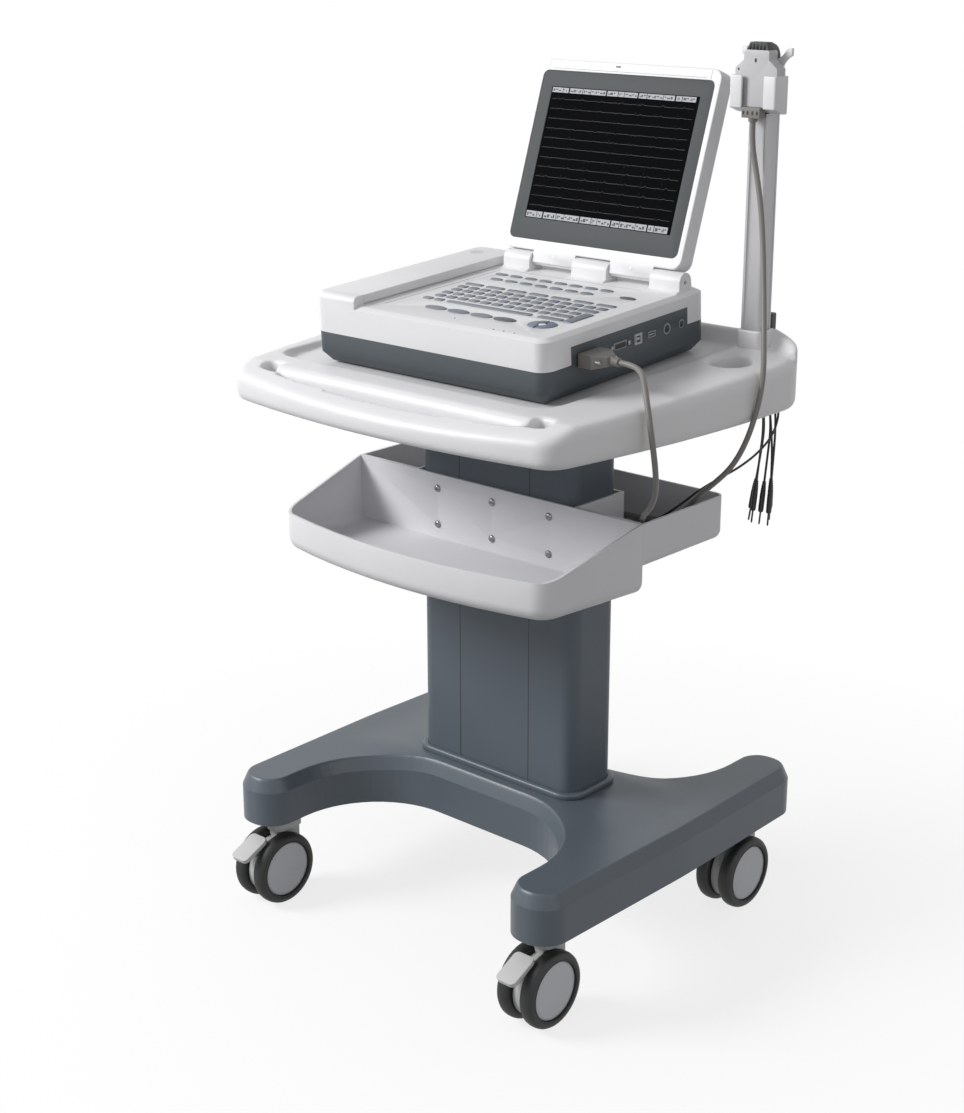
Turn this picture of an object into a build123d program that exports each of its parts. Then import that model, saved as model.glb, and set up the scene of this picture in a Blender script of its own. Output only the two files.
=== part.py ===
from build123d import *
import os
from math import atan, cos, degrees, radians, sin, sqrt, tan

# ECG recorder on its trolley. Millimetres. +Z is up, the user stands at -Y, +X is to their right.
# The model is laid out about the column's axis, with the floor at z = 0, and at the end the whole
# of it is moved along Y so that the origin is under the middle of its box.

# ---- fits and common walls
seat_gap = 0.05          # parts that touch and are bonded, screwed or clipped
soft_gap = 0.3           # soft or moving parts beside their neighbours
running_gap = 0.05       # radial clearance of a shaft in its bearing
shell_wall = 3.0         # recorder and lid mouldings

# ---- castors
wheel_r = 50.0
hub_r = 38.5
tyre_w = 20.5
wheel_gap = 16.0         # between the two tyres of a castor
castor_x = 240.0
castor_y = 206.0         # kingpins, before and behind the column
trail = 27.0             # wheel axle in front of its kingpin
axle_r = 4.0
web_w = 14.0             # housing between the tyres
hood_r = 41.0
neck_r = 15.0
neck_z = 101.0
neck_top = 118.7
stem_r = 6.0
stem_depth = 12.0
flange_r = 18.0
tyre_round = 7.0
pedal_w = 30.0
pedal_l = 46.0
pedal_t = 6.0
pedal_pin_r = 2.5
pedal_slope = 25.0       # degrees that the released pedal points down

# ---- base
base_z0 = 123.0
base_top = 189.0
hub_top = 196.5
base_bevel = (8.0, 18.0)  # inwards, downwards
base_wall = 4.0
foot_y = 268.0
foot_out_x = 281.0
foot_in_x = 204.0
base_side_x = 287.0
arch_x = 205.0
arch_y = 74.0
arch_r = 128.0
foot_r = 36.0
frame_z0 = 126.0
rail_w = 36.0
rail_h = 34.0
rail_wall = 3.0
rail_half_y = 236.0
cross_plate_t = 6.0

# ---- column
col_w = 266.0
col_d = 92.0
col_r = 20.0
panel_t = 3.0
core_wall = 2.5
front_panel_w = 120.0
seam = 0.8
collar_t = 8.0
collar_h = 8.0

# ---- tray
tray_z0 = 708.0
tray_front_z = 736.0
tray_ridge_z = 757.0
tray_wall = 5.0
tray_rear_z = 773.0
rim_z = 795.0
tray_front_y = -277.0
tray_front_corner = (269.0, -250.0)
tray_side_mid = (296.0, -80.0)
tray_rear_corner = (304.0, 212.0)
tray_front_r = 38.0
tray_rear_r = 52.0
tray_shoulder_r = 14.0
grip_half_x = 238.0      # hand opening behind the handle rail
grip_y = (-250.0, -207.0)
grip_bow = 24.0          # how far its front edge bows with the tray's front
bar_half_x = 212.0       # cross bar between the opening and the well
bar_front_y = -228.0
bar_round = 13.0
ridge_y = -214.0
rim_y = 193.0            # where the rear rim is at its full height
rim_run = 12.0
well_x = (-260.0, 200.0)
well_y = (-178.0, 168.0)
well_r = 30.0
cup_at = (244.0, 121.0)
cup_r = 26.0
cup_depth = 29.0
plate_t = 2.5
plate_half_x = 255.0
plate_y = (-190.0, 170.0)
plate_z = (tray_z0 + plate_t, tray_z0 + 2 * plate_t)
pocket_rib = 6.0         # ribs between the hollows under the tray
tray_floor = 762.0       # where the post stands inside the tray
cup_floor = 770.0 - cup_depth

# ---- bins
bin_half_x = 242.0
bin_wall = 3.5
bin_back_y = -46.5
front_bin_z0 = 507.0
bin_top = front_bin_z0 + 91.0
front_bin_lip = front_bin_z0 + 50.5
front_bin_corner = (226.0, -207.0)
front_bin_nose = -237.0
bin_edge_r = 18.0
rear_bin_z0 = bin_top - 57.5
rear_bin_y = 125.0
rear_bin_r = 14.0
column_gap = 0.5
bin_screw_x = 95.7
bin_screw_z = (front_bin_z0 + 22.1, front_bin_z0 + 71.6)
rear_screw_x = 60.0
rear_screw_z = bin_top - 26.0
screw_r = 2.5
screw_head_r = 5.0
screw_head_h = 2.6
screw_l = 12.0

# ---- accessory post
post_at = (241.0, 177.0)
post_w = 28.0
post_wall = 2.5
post_top = 1069.0
socket_w = 35.0
socket_z = (768.0, 803.0)

# ---- holder, acquisition box and hook plate (about the post's axis in x)
holder_half_x = 33.5
holder_front_y = 148.0
holder_depth = 28.0
holder_z = (post_top, post_top + 45.0)
holder_wall = 3.0
holder_open_half_x = 15.5
box_front_y = 154.5
box_rear_y = 172.5
box_low_z = post_top + 8.0
box_h = 66.5
box_half_x = 30.0
box_neck_half_x = box_half_x - 12.0
box_top_z = box_low_z + box_h
box_shoulder_z = (box_top_z - 21.0, box_top_z - 11.5)
hook_t = 4.0
hook_half_x = 36.0
hook_tip_z = box_top_z + 2.5

# ---- recorder, in its own frame: origin under the column's axis on its underside, then pitched
pitch = 3.5
recorder_z = 762.6
rec_x = (-205.0, 180.0)
rec_y = (-158.0, 160.0)
rec_r = 18.0
split_z = 40.0
rec_top = 79.0
bevel = 13.0
deck_bevel = (8.0, 4.0)  # inwards, downwards
hump_round = 8.0
foot_h = 3.0
foot_disc_r = 9.0
board_z = (8.0, 9.6)
port_y = (-110.0, 119.0)
port_top = 62.0
port_z = 43.5
dsub_y, vga_y, net_y, usb_y, din_y, jack_y = -80.0, -18.0, 18.0, 45.0, 76.0, 106.0
bay_x = (-199.0, -141.0)
bay_y = (-132.0, 122.0)
door_x = (-203.0, -131.0)
door_y = (-140.0, 144.0)
door_t = 12.0
door_pin_r = 1.5
door_axis = (door_x[1] - 2.0, rec_top + soft_gap + 2.0)
paper_r = 24.0
platen_r = 7.0
platen_shaft_r = 3.0
platen_at = (-188.0, 64.0)
platen_y = (-112.0, 98.0)
key_proud = 1.2
key_mat_t = 1.5
key_gap = 0.4
key_travel = 1.0

# ---- lid, in its own frame: x across, u up the screen, w out of the screen's face
lid_tilt = 18.5
lid_centre_x = 18.0
lid_half_x = 147.0
lid_rim = 8.0
bezel_side = 19.0
lid_u = (-37.0, 216.0)
lid_t = 27.0
lid_r = 14.0
bezel_half_x = lid_half_x - lid_rim
bezel_u = (-23.5, 201.5)
bezel_t = 3.2
bezel_recess = 0.8
screen_half_x = bezel_half_x - bezel_side
screen_u = (5.0, 180.0)
lcd_border = 6.0
lcd_t = 8.0
hinge_y = 125.6          # in the recorder's frame
hinge_z = 90.7
hinge_back = 8.0         # hinge axis behind the lid's front face
hinge_u = -49.7
hinge_pin_r = 2.5
barrel_r = 5.5
knuckles = ((-119.0, -74.0), (-2.0, 55.0), (125.0, 172.0))
knuckle_gap = 0.5
knuckle_r = lid_u[0] - hinge_u - knuckle_gap


def block(x, y, z, corner=0.0):
    """An upright block between pairs of x, y and z, with rounded upright edges."""
    at = Pos((x[0] + x[1]) / 2, (y[0] + y[1]) / 2, z[0])
    width, depth = x[1] - x[0], y[1] - y[0]
    shape = RectangleRounded(width, depth, corner) if corner else Rectangle(width, depth)
    return extrude(at * shape, z[1] - z[0])


def rod(a, b, r):
    """A round bar from point a to point b."""
    start, end = Vector(*a), Vector(*b)
    return extrude(Plane(origin=start, z_dir=end - start) * Circle(r), (end - start).length)


def side_profile(points, x):
    """A closed (y, z) outline made solid between two x values."""
    face = make_face(Polyline(*[(0, y, z) for y, z in points], close=True))
    return Pos(x[0], 0, 0) * extrude(face, x[1] - x[0], dir=(1, 0, 0))


def top_edges(solid, z, tol=0.3):
    """Edges that lie flat at height z."""
    return solid.edges().filter_by(lambda e: abs(e.bounding_box().min.Z - z) < tol
                                   and abs(e.bounding_box().max.Z - z) < tol)


def bevel_top(solid, size):
    """Bevel round the top; size is how far it reaches inwards and downwards."""
    top = solid.faces().sort_by(Axis.Z)[-1]
    return chamfer(top.edges(), size[0], size[1], reference=top)


# ------------------------------------------------------------------ castors
def castor(x, side, braked):
    """One castor; side is -1 in front of the column and +1 behind it."""
    kingpin = Pos(x, side * castor_y, 0)
    wheel = Pos(0, -trail, wheel_r)
    tyre_at = wheel_gap / 2 + tyre_w / 2
    slot_half_w = web_w / 2 - 2.7
    pivot = Vector(0, -trail - 19, wheel_r + 33)

    hood = wheel * Pos(-web_w / 2, 0, 0) * extrude(Plane.YZ * Circle(hood_r), web_w)
    spine = block((-web_w / 2, web_w / 2), (-trail, neck_r), (wheel_r, neck_z + 1))
    neck = block((-neck_r, neck_r), (-trail - 4, neck_r + 3), (neck_z, neck_top), 12)
    housing = hood + spine + neck
    housing -= rod((0, 0, neck_z - stem_depth), (0, 0, neck_top + 5), stem_r + running_gap)
    housing -= wheel * Rotation(0, 90, 0) * Cylinder(axle_r + running_gap, 60)
    if braked:
        pocket = block((-slot_half_w - soft_gap, slot_half_w + soft_gap),
                       (-trail - 60, pivot.Y + 9), (pivot.Z - 9, neck_z - 2))
        pin_hole = Pos(*pivot) * Rotation(0, 90, 0) * Cylinder(pedal_pin_r + running_gap, web_w + 2)
        housing = housing - pocket - pin_hole
    axle = wheel * Rotation(0, 90, 0) * Cylinder(axle_r, 2 * tyre_at + tyre_w - 14)

    hubs, tyres = [], []
    for sign in (-1, 1):
        place = wheel * Pos(sign * tyre_at, 0, 0) * Rotation(0, 90 * sign, 0)
        disc = Cylinder(hub_r - seat_gap, tyre_w - 4)
        disc = fillet(disc.edges().filter_by(GeomType.CIRCLE), 2.0)
        disc -= Pos(0, 0, -4) * Cylinder(axle_r + running_gap, tyre_w - 4)
        hubs.append(place * disc)
        ring = Cylinder(wheel_r, tyre_w)
        ring = fillet(ring.edges().filter_by(GeomType.CIRCLE), tyre_round)
        tyres.append(place * (ring - Cylinder(hub_r, tyre_w + 2)))

    parts = {"housing": [kingpin * s for s in housing.solids() + axle.solids()],
             "hubs": [kingpin * s for s in hubs],
             "tyres": [kingpin * s for s in tyres]}
    if braked:
        plate = block((-pedal_w / 2, pedal_w / 2), (-pedal_l, 0), (0, pedal_t), 7)
        plate = Pos(0, -trail - 22, wheel_r + 46) * Rotation(pedal_slope, 0, 0) * plate
        tongue = side_profile([(pivot.Y - 7, pivot.Z - 5), (pivot.Y + 6, pivot.Z - 5),
                               (pivot.Y + 6, pivot.Z + 6), (pivot.Y - 8, pivot.Z + 14)],
                              (-slot_half_w, slot_half_w))
        pin = Pos(*pivot) * Rotation(0, 90, 0) * Cylinder(pedal_pin_r, web_w - 1)
        parts["pedal"] = [kingpin * s for s in (plate + tongue + pin).solids()]
        parts["pivot"] = kingpin * Pos(*pivot)
    return parts


def castor_stems():
    """Kingpins with their flanges, fixed up into the base frame's rails."""
    stems = []
    for x in (-castor_x, castor_x):
        for y in (-castor_y, castor_y):
            flange = Pos(x, y, (neck_top + soft_gap + frame_z0) / 2)
            flange *= Cylinder(flange_r, frame_z0 - neck_top - soft_gap)
            pin = rod((x, y, neck_z - stem_depth + soft_gap), (x, y, frame_z0 + rail_h / 2), stem_r)
            stems.append(flange + pin)
    return stems


# ------------------------------------------------------------------ base
def base_outline(inset=0.0):
    """H-shaped plan: four feet, arches in front and behind, gently bowed sides."""
    right = (foot_out_x, foot_y)
    path = [
        Polyline((-foot_out_x, -foot_y), (-foot_in_x, -foot_y), (-arch_x, -arch_y),
                 (arch_x, -arch_y), (foot_in_x, -foot_y), (foot_out_x, -foot_y)),
        ThreePointArc((foot_out_x, -foot_y), (base_side_x, 0), right),
        Polyline(right, (foot_in_x, foot_y), (arch_x, arch_y), (-arch_x, arch_y),
                 (-foot_in_x, foot_y), (-foot_out_x, foot_y)),
        ThreePointArc((-foot_out_x, foot_y), (-base_side_x, 0), (-foot_out_x, -foot_y)),
    ]
    face = make_face(path)
    corners = face.vertices()
    tips = corners.filter_by(lambda v: abs(v.Y) > foot_y - 1)
    arches = corners.filter_by(lambda v: abs(v.Y) < arch_y + 1)
    face = fillet(tips, foot_r)
    arches = face.vertices().filter_by(lambda v: abs(abs(v.X) - arch_x) < 1 and
                                       abs(abs(v.Y) - arch_y) < 1)
    face = fillet(arches, arch_r)
    return offset(face, -inset) if inset else face


def base_cover():
    """Moulded cover, open underneath, with a low mound under the column."""
    def body(inset, z0, z1):
        return bevel_top(extrude(Pos(0, 0, z0) * base_outline(inset), z1 - z0), base_bevel)

    mound = loft([Pos(0, 0, base_top - 1) * RectangleRounded(380, 118, 30),
                  Pos(0, 0, hub_top) * RectangleRounded(292, 112, 28)])
    cover = body(0, base_z0, base_top) + mound
    cover -= body(base_wall, base_z0 - 1, base_top - base_wall)
    cover -= block((-col_w / 2 + panel_t - seat_gap, col_w / 2 - panel_t + seat_gap),
                   (-col_d / 2 + panel_t - seat_gap, col_d / 2 - panel_t + seat_gap),
                   (base_top - 20, hub_top + 5), col_r - panel_t)
    return cover


def base_frame():
    """Two steel rails over the castors, a cross plate and the column's foot plate."""
    z = (frame_z0, frame_z0 + rail_h)
    frame = Part()
    for sign in (-1, 1):
        x = (sign * castor_x - rail_w / 2, sign * castor_x + rail_w / 2)
        rail = block(x, (-rail_half_y, rail_half_y), z)
        rail -= block((x[0] + rail_wall, x[1] - rail_wall), (-rail_half_y - 1, rail_half_y + 1),
                      (z[0] + rail_wall, z[1] - rail_wall))
        frame += rail
    reach = castor_x - rail_w / 2
    frame += block((-reach, reach), (-55, 55), (z[1] - cross_plate_t, z[1]))
    for x in (-castor_x, castor_x):
        for y in (-castor_y, castor_y):
            frame -= Pos(x, y, frame_z0) * Cylinder(stem_r + seat_gap, 2 * rail_wall + 2)
    return frame


# ------------------------------------------------------------------ column
core_z = (frame_z0 + rail_h, tray_z0 + plate_t)
panel_z = (hub_top, tray_z0 - 0.5)


def column_ring(grow, z):
    """The column's outline grown outwards by grow, as an upright block."""
    return block((-col_w / 2 - grow, col_w / 2 + grow), (-col_d / 2 - grow, col_d / 2 + grow),
                 z, col_r + grow)


def bin_holes(r):
    """Screw holes of both bins, run right through what carries them."""
    holes = [rod((x, bin_back_y - 6, z), (x, bin_back_y + 14, z), r)
             for x in (-bin_screw_x, 0, bin_screw_x) for z in bin_screw_z]
    holes += [rod((x, -bin_back_y + 6, rear_screw_z), (x, -bin_back_y - 14, rear_screw_z), r)
              for x in (-rear_screw_x, rear_screw_x)]
    return holes


def column_core():
    core = column_ring(-panel_t - seat_gap, core_z)
    core -= column_ring(-panel_t - core_wall, (core_z[0] - 1, core_z[1] + 1))
    return core - bin_holes(screw_r + seat_gap)


def column_panels():
    """Front and rear panels between two side panels that wrap the corners."""
    ring = column_ring(0, panel_z) - column_ring(-panel_t, (panel_z[0] - 1, panel_z[1] + 1))
    ring -= bin_holes(screw_r + soft_gap)
    flat = front_panel_w / 2
    middle = block((-flat, flat), (-col_d, col_d), panel_z)
    sides = block((-flat - seam, flat + seam), (-col_d, col_d), panel_z)
    return (ring & middle).solids() + (ring - sides).solids()


def column_collar():
    collar = column_ring(collar_t, (hub_top, hub_top + collar_h))
    collar = fillet(top_edges(collar, hub_top + collar_h), 4)
    return collar - column_ring(seat_gap, (hub_top - 1, hub_top + collar_h + 1))


# ------------------------------------------------------------------ tray
def tray_outline():
    left = [(-x, y) for x, y in (tray_front_corner, tray_side_mid, tray_rear_corner)]
    path = [ThreePointArc(left[0], (0, tray_front_y), tray_front_corner),
            ThreePointArc(tray_front_corner, tray_side_mid, tray_rear_corner),
            Line(tray_rear_corner, left[2]),
            ThreePointArc(left[2], left[1], left[0])]
    face = make_face(path)
    front = face.vertices().filter_by(lambda v: v.Y < 0)
    face = fillet(front, tray_front_r)
    rear = face.vertices().filter_by(lambda v: abs(v.Y - tray_rear_corner[1]) < 1)
    return fillet(rear, tray_rear_r)


def hand_opening():
    """Plan of the opening behind the handle rail; its front edge bows with the tray's."""
    x, (front, back) = grip_half_x, grip_y
    path = [ThreePointArc((-x, front + grip_bow), (0, front), (x, front + grip_bow)),
            Polyline((x, front + grip_bow), (x, back), (-x, back), (-x, front + grip_bow))]
    face = make_face(path)
    return fillet(face.vertices(), 9)


def cross_bar():
    """Rounded bar that closes the well off from the hand opening."""
    y, z, r = bar_front_y, tray_ridge_z, bar_round
    back = grip_y[1] + 4
    corner = r * (1 - sqrt(0.5))
    profile = [Line((0, y, tray_z0), (0, y, z - r)),
               ThreePointArc((0, y, z - r), (0, y + corner, z - corner), (0, y + r, z)),
               Polyline((0, y + r, z), (0, back, z), (0, back, tray_z0), (0, y, tray_z0))]
    bar = Pos(-bar_half_x, 0, 0) * extrude(make_face(profile), 2 * bar_half_x, dir=(1, 0, 0))
    return bar & block((-bar_half_x, bar_half_x), (y, back + r), (tray_z0, z), r - 4)


def tray_pockets():
    """Hollows over the steel plate; their tops run parallel to the well's floor."""
    reach = plate_half_x - tray_wall
    width = (2 * reach - 2 * pocket_rib) / 3
    y = (plate_y[0] + tray_wall, plate_y[1] - tray_wall)
    middle = (y[0] + y[1]) / 2
    hollow = Part()
    for i in range(3):
        x0 = -reach + i * (width + pocket_rib)
        for y0, y1 in ((y[0], middle - pocket_rib / 2), (middle + pocket_rib / 2, y[1])):
            hollow += block((x0, x0 + width), (y0, y1), (plate_z[1] - 1, rim_z), 8)
    hollow &= recorder_frame(block((-grip_half_x - 60, grip_half_x + 60), (plate_y[0] - 30, plate_y[1] + 30),
                                   (-rim_z + tray_z0 - 30, -foot_h - tray_wall)))
    return hollow - rod((*cup_at, cup_floor - tray_wall), (*cup_at, rim_z), cup_r + tray_wall)


def recorder_frame(shape):
    """Moves a shape from the recorder's own frame to its pitched place on the tray."""
    return Pos(0, 0, recorder_z) * Rotation(pitch, 0, 0) * shape


def tray_moulding(section):
    """One stretch of the tray: its outline under a (y, z) section, with rounded shoulders."""
    wide = tray_rear_corner[0] + 30
    body = extrude(Pos(0, 0, tray_z0) * tray_outline(), rim_z - tray_z0)
    body &= side_profile(section, (-wide, wide))

    def outer(edge):
        return edge.bounding_box().size.Y > 1 or abs(edge.center().Y - tray_rear_corner[1]) < 1

    body = fillet(top_edges(body, tray_z0).filter_by(outer), tray_shoulder_r - 1)
    top = section[-2][1] if section[-2][1] == section[-3][1] else tray_front_z
    edges = body.edges().filter_by(lambda e: e.bounding_box().min.Z > top - 2)
    return fillet(edges.filter_by(outer), tray_shoulder_r)


def tray():
    """Moulded tray: handle rail in front, recorder well, cup recess, raised rear rim."""
    rear, step = tray_rear_corner[1] + 5, rim_y - rim_run
    rise = (tray_rear_z - tray_ridge_z) / (step - ridge_y)
    front = [(tray_front_y - 5, tray_z0), (tray_front_y - 5, tray_front_z), (ridge_y, tray_ridge_z),
             (ridge_y, tray_z0)]
    middle = [(ridge_y, tray_z0), (ridge_y, tray_ridge_z),
              (rear, tray_ridge_z + rise * (rear - ridge_y)), (rear, tray_z0)]
    rim = [(step, tray_z0), (step, tray_rear_z), (rim_y, rim_z), (rear, rim_z), (rear, tray_z0)]
    body = tray_moulding(front) + tray_moulding(middle) + tray_moulding(rim)
    body -= extrude(Pos(0, 0, tray_z0 - 5) * hand_opening(), rim_z - tray_z0)
    body += cross_bar()
    body -= recorder_frame(block(well_x, well_y, (-foot_h, 60), well_r))
    body -= rod((*cup_at, cup_floor), (*cup_at, rim_z + 10), cup_r)
    body -= block((-plate_half_x - 2, plate_half_x + 2), (plate_y[0] - 2, plate_y[1] + 2),
                  (tray_z0 - 1, plate_z[1]))
    body -= tray_pockets()
    return body - post_tool(seat_gap, (tray_floor, socket_z[1]))


def tray_plate():
    return block((-plate_half_x, plate_half_x), plate_y, plate_z, 12)


# ------------------------------------------------------------------ bins
def front_bin():
    """Open bin with low bowed front; its back wall is screwed to the column."""
    def body(wall, z0, edge):
        x, nose = bin_half_x - wall, front_bin_nose + wall
        cx, cy = front_bin_corner[0] - wall, front_bin_corner[1] + wall
        back = bin_back_y - wall
        path = [Polyline((cx, cy), (x, back), (-x, back), (-cx, cy)),
                ThreePointArc((-cx, cy), (0, nose), (cx, cy))]
        face = make_face(path)
        face = fillet(face.vertices().filter_by(lambda v: abs(v.Y - cy) < 1), 34 - wall)
        solid = extrude(Pos(0, 0, z0) * face, bin_top - z0 + 20)
        low = top_edges(solid, z0).filter_by(lambda e: e.bounding_box().min.Y < back - 1)
        return fillet(low, edge)

    shell = body(0, front_bin_z0, bin_edge_r)
    shell -= body(bin_wall, front_bin_z0 + bin_wall, bin_edge_r - bin_wall)
    lip_y = front_bin_corner[1] + 4
    low, front, wide = front_bin_z0 - 20, front_bin_nose - 20, bin_half_x + 20
    shell &= side_profile([(front, low), (bin_back_y + 1, low), (bin_back_y + 1, bin_top),
                           (bin_back_y - bin_wall, bin_top), (lip_y, front_bin_lip),
                           (front, front_bin_lip)], (-wide, wide))
    return shell - bin_holes(screw_r + soft_gap)


def rear_bin():
    """Open bin round the column's sides and back."""
    x, y = bin_half_x, (bin_back_y + soft_gap, rear_bin_y)
    shell = block((-x, x), y, (rear_bin_z0, bin_top))
    shell = fillet(shell.edges().filter_by(Axis.Z).filter_by(lambda e: e.center().Y > 0), rear_bin_r)
    shell = fillet(top_edges(shell, rear_bin_z0).filter_by(
        lambda e: e.bounding_box().max.Y > y[0] + 1), 12)
    room = block((-x + bin_wall, x - bin_wall), (y[0] + bin_wall, y[1] - bin_wall),
                 (rear_bin_z0 + bin_wall, bin_top + 5))
    room = fillet(room.edges().filter_by(Axis.Z).filter_by(lambda e: e.center().Y > 0),
                  rear_bin_r - bin_wall)
    gap = column_gap
    inner = block((-col_w / 2 - gap - bin_wall, col_w / 2 + gap + bin_wall),
                  (y[0] - 5, col_d / 2 + gap + bin_wall), (rear_bin_z0, bin_top), 0)
    notch = block((-col_w / 2 - gap, col_w / 2 + gap), (y[0] - 5, col_d / 2 + gap),
                  (rear_bin_z0 - 5, bin_top + 5), 0)
    solid = (shell - (room - inner)) - notch
    return solid - bin_holes(screw_r + soft_gap)


def bin_screws():
    screws = []
    for x in (-bin_screw_x, 0, bin_screw_x):
        for z in bin_screw_z:
            face = bin_back_y - bin_wall - seat_gap
            head = rod((x, face - screw_head_h, z), (x, face, z), screw_head_r)
            screws.append(head + rod((x, face, z), (x, face + screw_l, z), screw_r))
    for x in (-rear_screw_x, rear_screw_x):
        face = col_d / 2 + column_gap + bin_wall + seat_gap
        head = rod((x, face, rear_screw_z), (x, face + screw_head_h, rear_screw_z), screw_head_r)
        screws.append(head + rod((x, face - screw_l, rear_screw_z), (x, face, rear_screw_z), screw_r))
    return screws


# ------------------------------------------------------------------ accessory post and holder
def post_tool(gap, z):
    half = post_w / 2 + gap
    return block((post_at[0] - half, post_at[0] + half), (post_at[1] - half, post_at[1] + half), z, 4)


def post():
    """Square extrusion with a groove down each side."""
    z = (tray_floor, post_top)
    bar = post_tool(0, z)
    bar -= post_tool(-post_wall - 3, (z[0] - 1, z[1] - 4))
    for turn in range(4):
        groove = Pos(post_at[0], post_at[1], 0) * Rotation(0, 0, 90 * turn)
        bar -= groove * block((-4, 4), (post_w / 2 - 2, post_w / 2 + 1), (socket_z[1] + 2, z[1] + 1))
    return bar


def post_socket():
    half = socket_w / 2
    x, y = post_at
    collar = block((x - half, x + half), (y - half, y + half), socket_z, 6)
    collar = fillet(top_edges(collar, socket_z[1]), 2)
    step, high = rim_y - rim_run, socket_z[1] + 1
    collar &= side_profile([(y - half - 1, tray_rear_z + seat_gap), (step, tray_rear_z + seat_gap),
                            (rim_y, rim_z + seat_gap), (y + half + 1, rim_z + seat_gap),
                            (y + half + 1, high), (y - half - 1, high)], (x - half - 1, x + half + 1))
    return collar - post_tool(seat_gap, (socket_z[0] - 1, socket_z[1] + 1))


def holder_bracket():
    """White channel on top of the post; two front lips hold the acquisition box."""
    cx, half = post_at[0], holder_half_x
    y = (holder_front_y, holder_front_y + holder_depth)
    z0, z1 = holder_z
    body = block((cx - half, cx + half), y, (z0 - 1, z1))
    body = fillet(body.edges().filter_by(Axis.Z), 3)
    body -= block((cx - half + holder_wall, cx + half - holder_wall),
                  (y[0] + holder_wall, box_rear_y + soft_gap), (box_low_z - soft_gap, z1 + 1))
    body -= block((cx - holder_open_half_x, cx + holder_open_half_x), (y[0] - 1, y[0] + holder_wall + 1),
                  (z0 - 2, z1 + 1))
    body -= block((cx - holder_open_half_x, cx + holder_open_half_x), (y[0] - 1, post_at[1] - post_w / 2),
                  (z0 - 2, box_low_z + 1))
    slope = side_profile([(y[0] - 1, z0 - 2), (y[0] - 1, box_low_z - 1), (y[1] - 8, z0),
                          (y[1] + 1, z0), (y[1] + 1, z0 - 2)], (cx - half - 1, cx + half + 1))
    foot = block((cx - 13, cx + 13), (y[1] - 4, post_at[1] + post_w / 2 - 1), (z0, z0 + 4), 2)
    return body - slope + foot


def hook_plate():
    """Plate behind the holder with two horns that lead wires hang over."""
    cx, y = post_at[0], holder_front_y + holder_depth + seat_gap
    w, tip = hook_half_x, hook_tip_z
    low, waist = holder_z[0] + 4 + seat_gap, 22.0
    right = [Line((0, low), (waist, low)), Line((waist, low), (waist, tip - 32)),
             ThreePointArc((waist, tip - 32), (waist + 4, tip - 17), (w, tip - 9)),
             Line((w, tip - 9), (w, tip)), Line((w, tip), (w - 7, tip)),
             ThreePointArc((w - 7, tip), (16, tip - 13), (0, tip - 16)), Line((0, tip - 16), (0, low))]
    half = make_face(Plane.XZ * Wire(right))
    plate = extrude(half, hook_t, dir=(0, 1, 0))
    plate += mirror(plate, Plane.YZ)
    return Pos(cx, y, 0) * plate


def acquisition_case():
    """Front and rear shells of the box that the patient leads plug into."""
    cx, low = post_at[0], box_low_z
    w, neck = box_half_x, box_neck_half_x
    z1, z2, z3 = box_shoulder_z[0], box_shoulder_z[1], box_top_z
    points = [(-w, low), (w, low), (w, z1), (neck, z2), (neck, z3), (-neck, z3), (-neck, z2), (-w, z1)]
    outline = make_face(Plane.XZ * Polyline(*points, close=True))
    outline = fillet(outline.vertices(), 3)
    depth = box_rear_y - box_front_y
    box = Pos(cx, box_front_y, 0) * extrude(outline, depth, dir=(0, 1, 0))
    rim = Pos(cx, box_front_y + 2.5, 0) * extrude(offset(outline, -2.5), depth - 5, dir=(0, 1, 0))
    box -= rim
    split = box_front_y + depth / 2
    x, z = (cx - w - 1, cx + w + 1), (low - 1, z3 + 1)
    front = box & block(x, (box_front_y - 1, split - seat_gap), z)
    rear = box & block(x, (split, box_rear_y + 1), z)
    return front.solids() + rear.solids()


def lead_connector():
    """Dark ribbed plug of the patient leads, on top of the acquisition box."""
    cx, cy = post_at[0], (box_front_y + box_rear_y) / 2
    z = box_top_z + seat_gap
    plug = loft([Pos(cx, cy, z) * Rectangle(32, 15), Pos(cx, cy, z + 9) * Rectangle(24, 12)])
    for i in range(-2, 3):
        plug -= block((cx + 5 * i - 0.8, cx + 5 * i + 0.8), (cy - 9, cy - 6.2), (z - 1, z + 12))
    return plug


# ------------------------------------------------------------------ recorder, in its own frame
wall_x = rec_x[1]


def d_shell(y, width, height):
    """Trapezoid connector outline on the port wall, long side up."""
    half, z = width / 2, port_z
    points = [(y - half, z + height / 2), (y + half, z + height / 2),
              (y + half - 1.5, z - height / 2), (y - half + 1.5, z - height / 2)]
    return side_profile(points, (wall_x - 12, wall_x + 1))


def port_shapes():
    """Outer forms of the six sockets, front to rear."""
    round_at = [Pos(wall_x - 6, y, port_z) * Rotation(0, 90, 0) * Cylinder(r, 13)
                for y, r in ((din_y, 7.0), (jack_y, 5.5))]
    network = block((wall_x - 15, wall_x + 0.6), (net_y - 8, net_y + 8), (port_z - 7, port_z + 7))
    usb = block((wall_x - 14, wall_x + 0.6), (usb_y - 7.5, usb_y + 7.5), (port_z - 4, port_z + 4))
    return [d_shell(dsub_y, 25, 9), d_shell(vga_y, 25, 9), network, usb] + round_at


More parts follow.
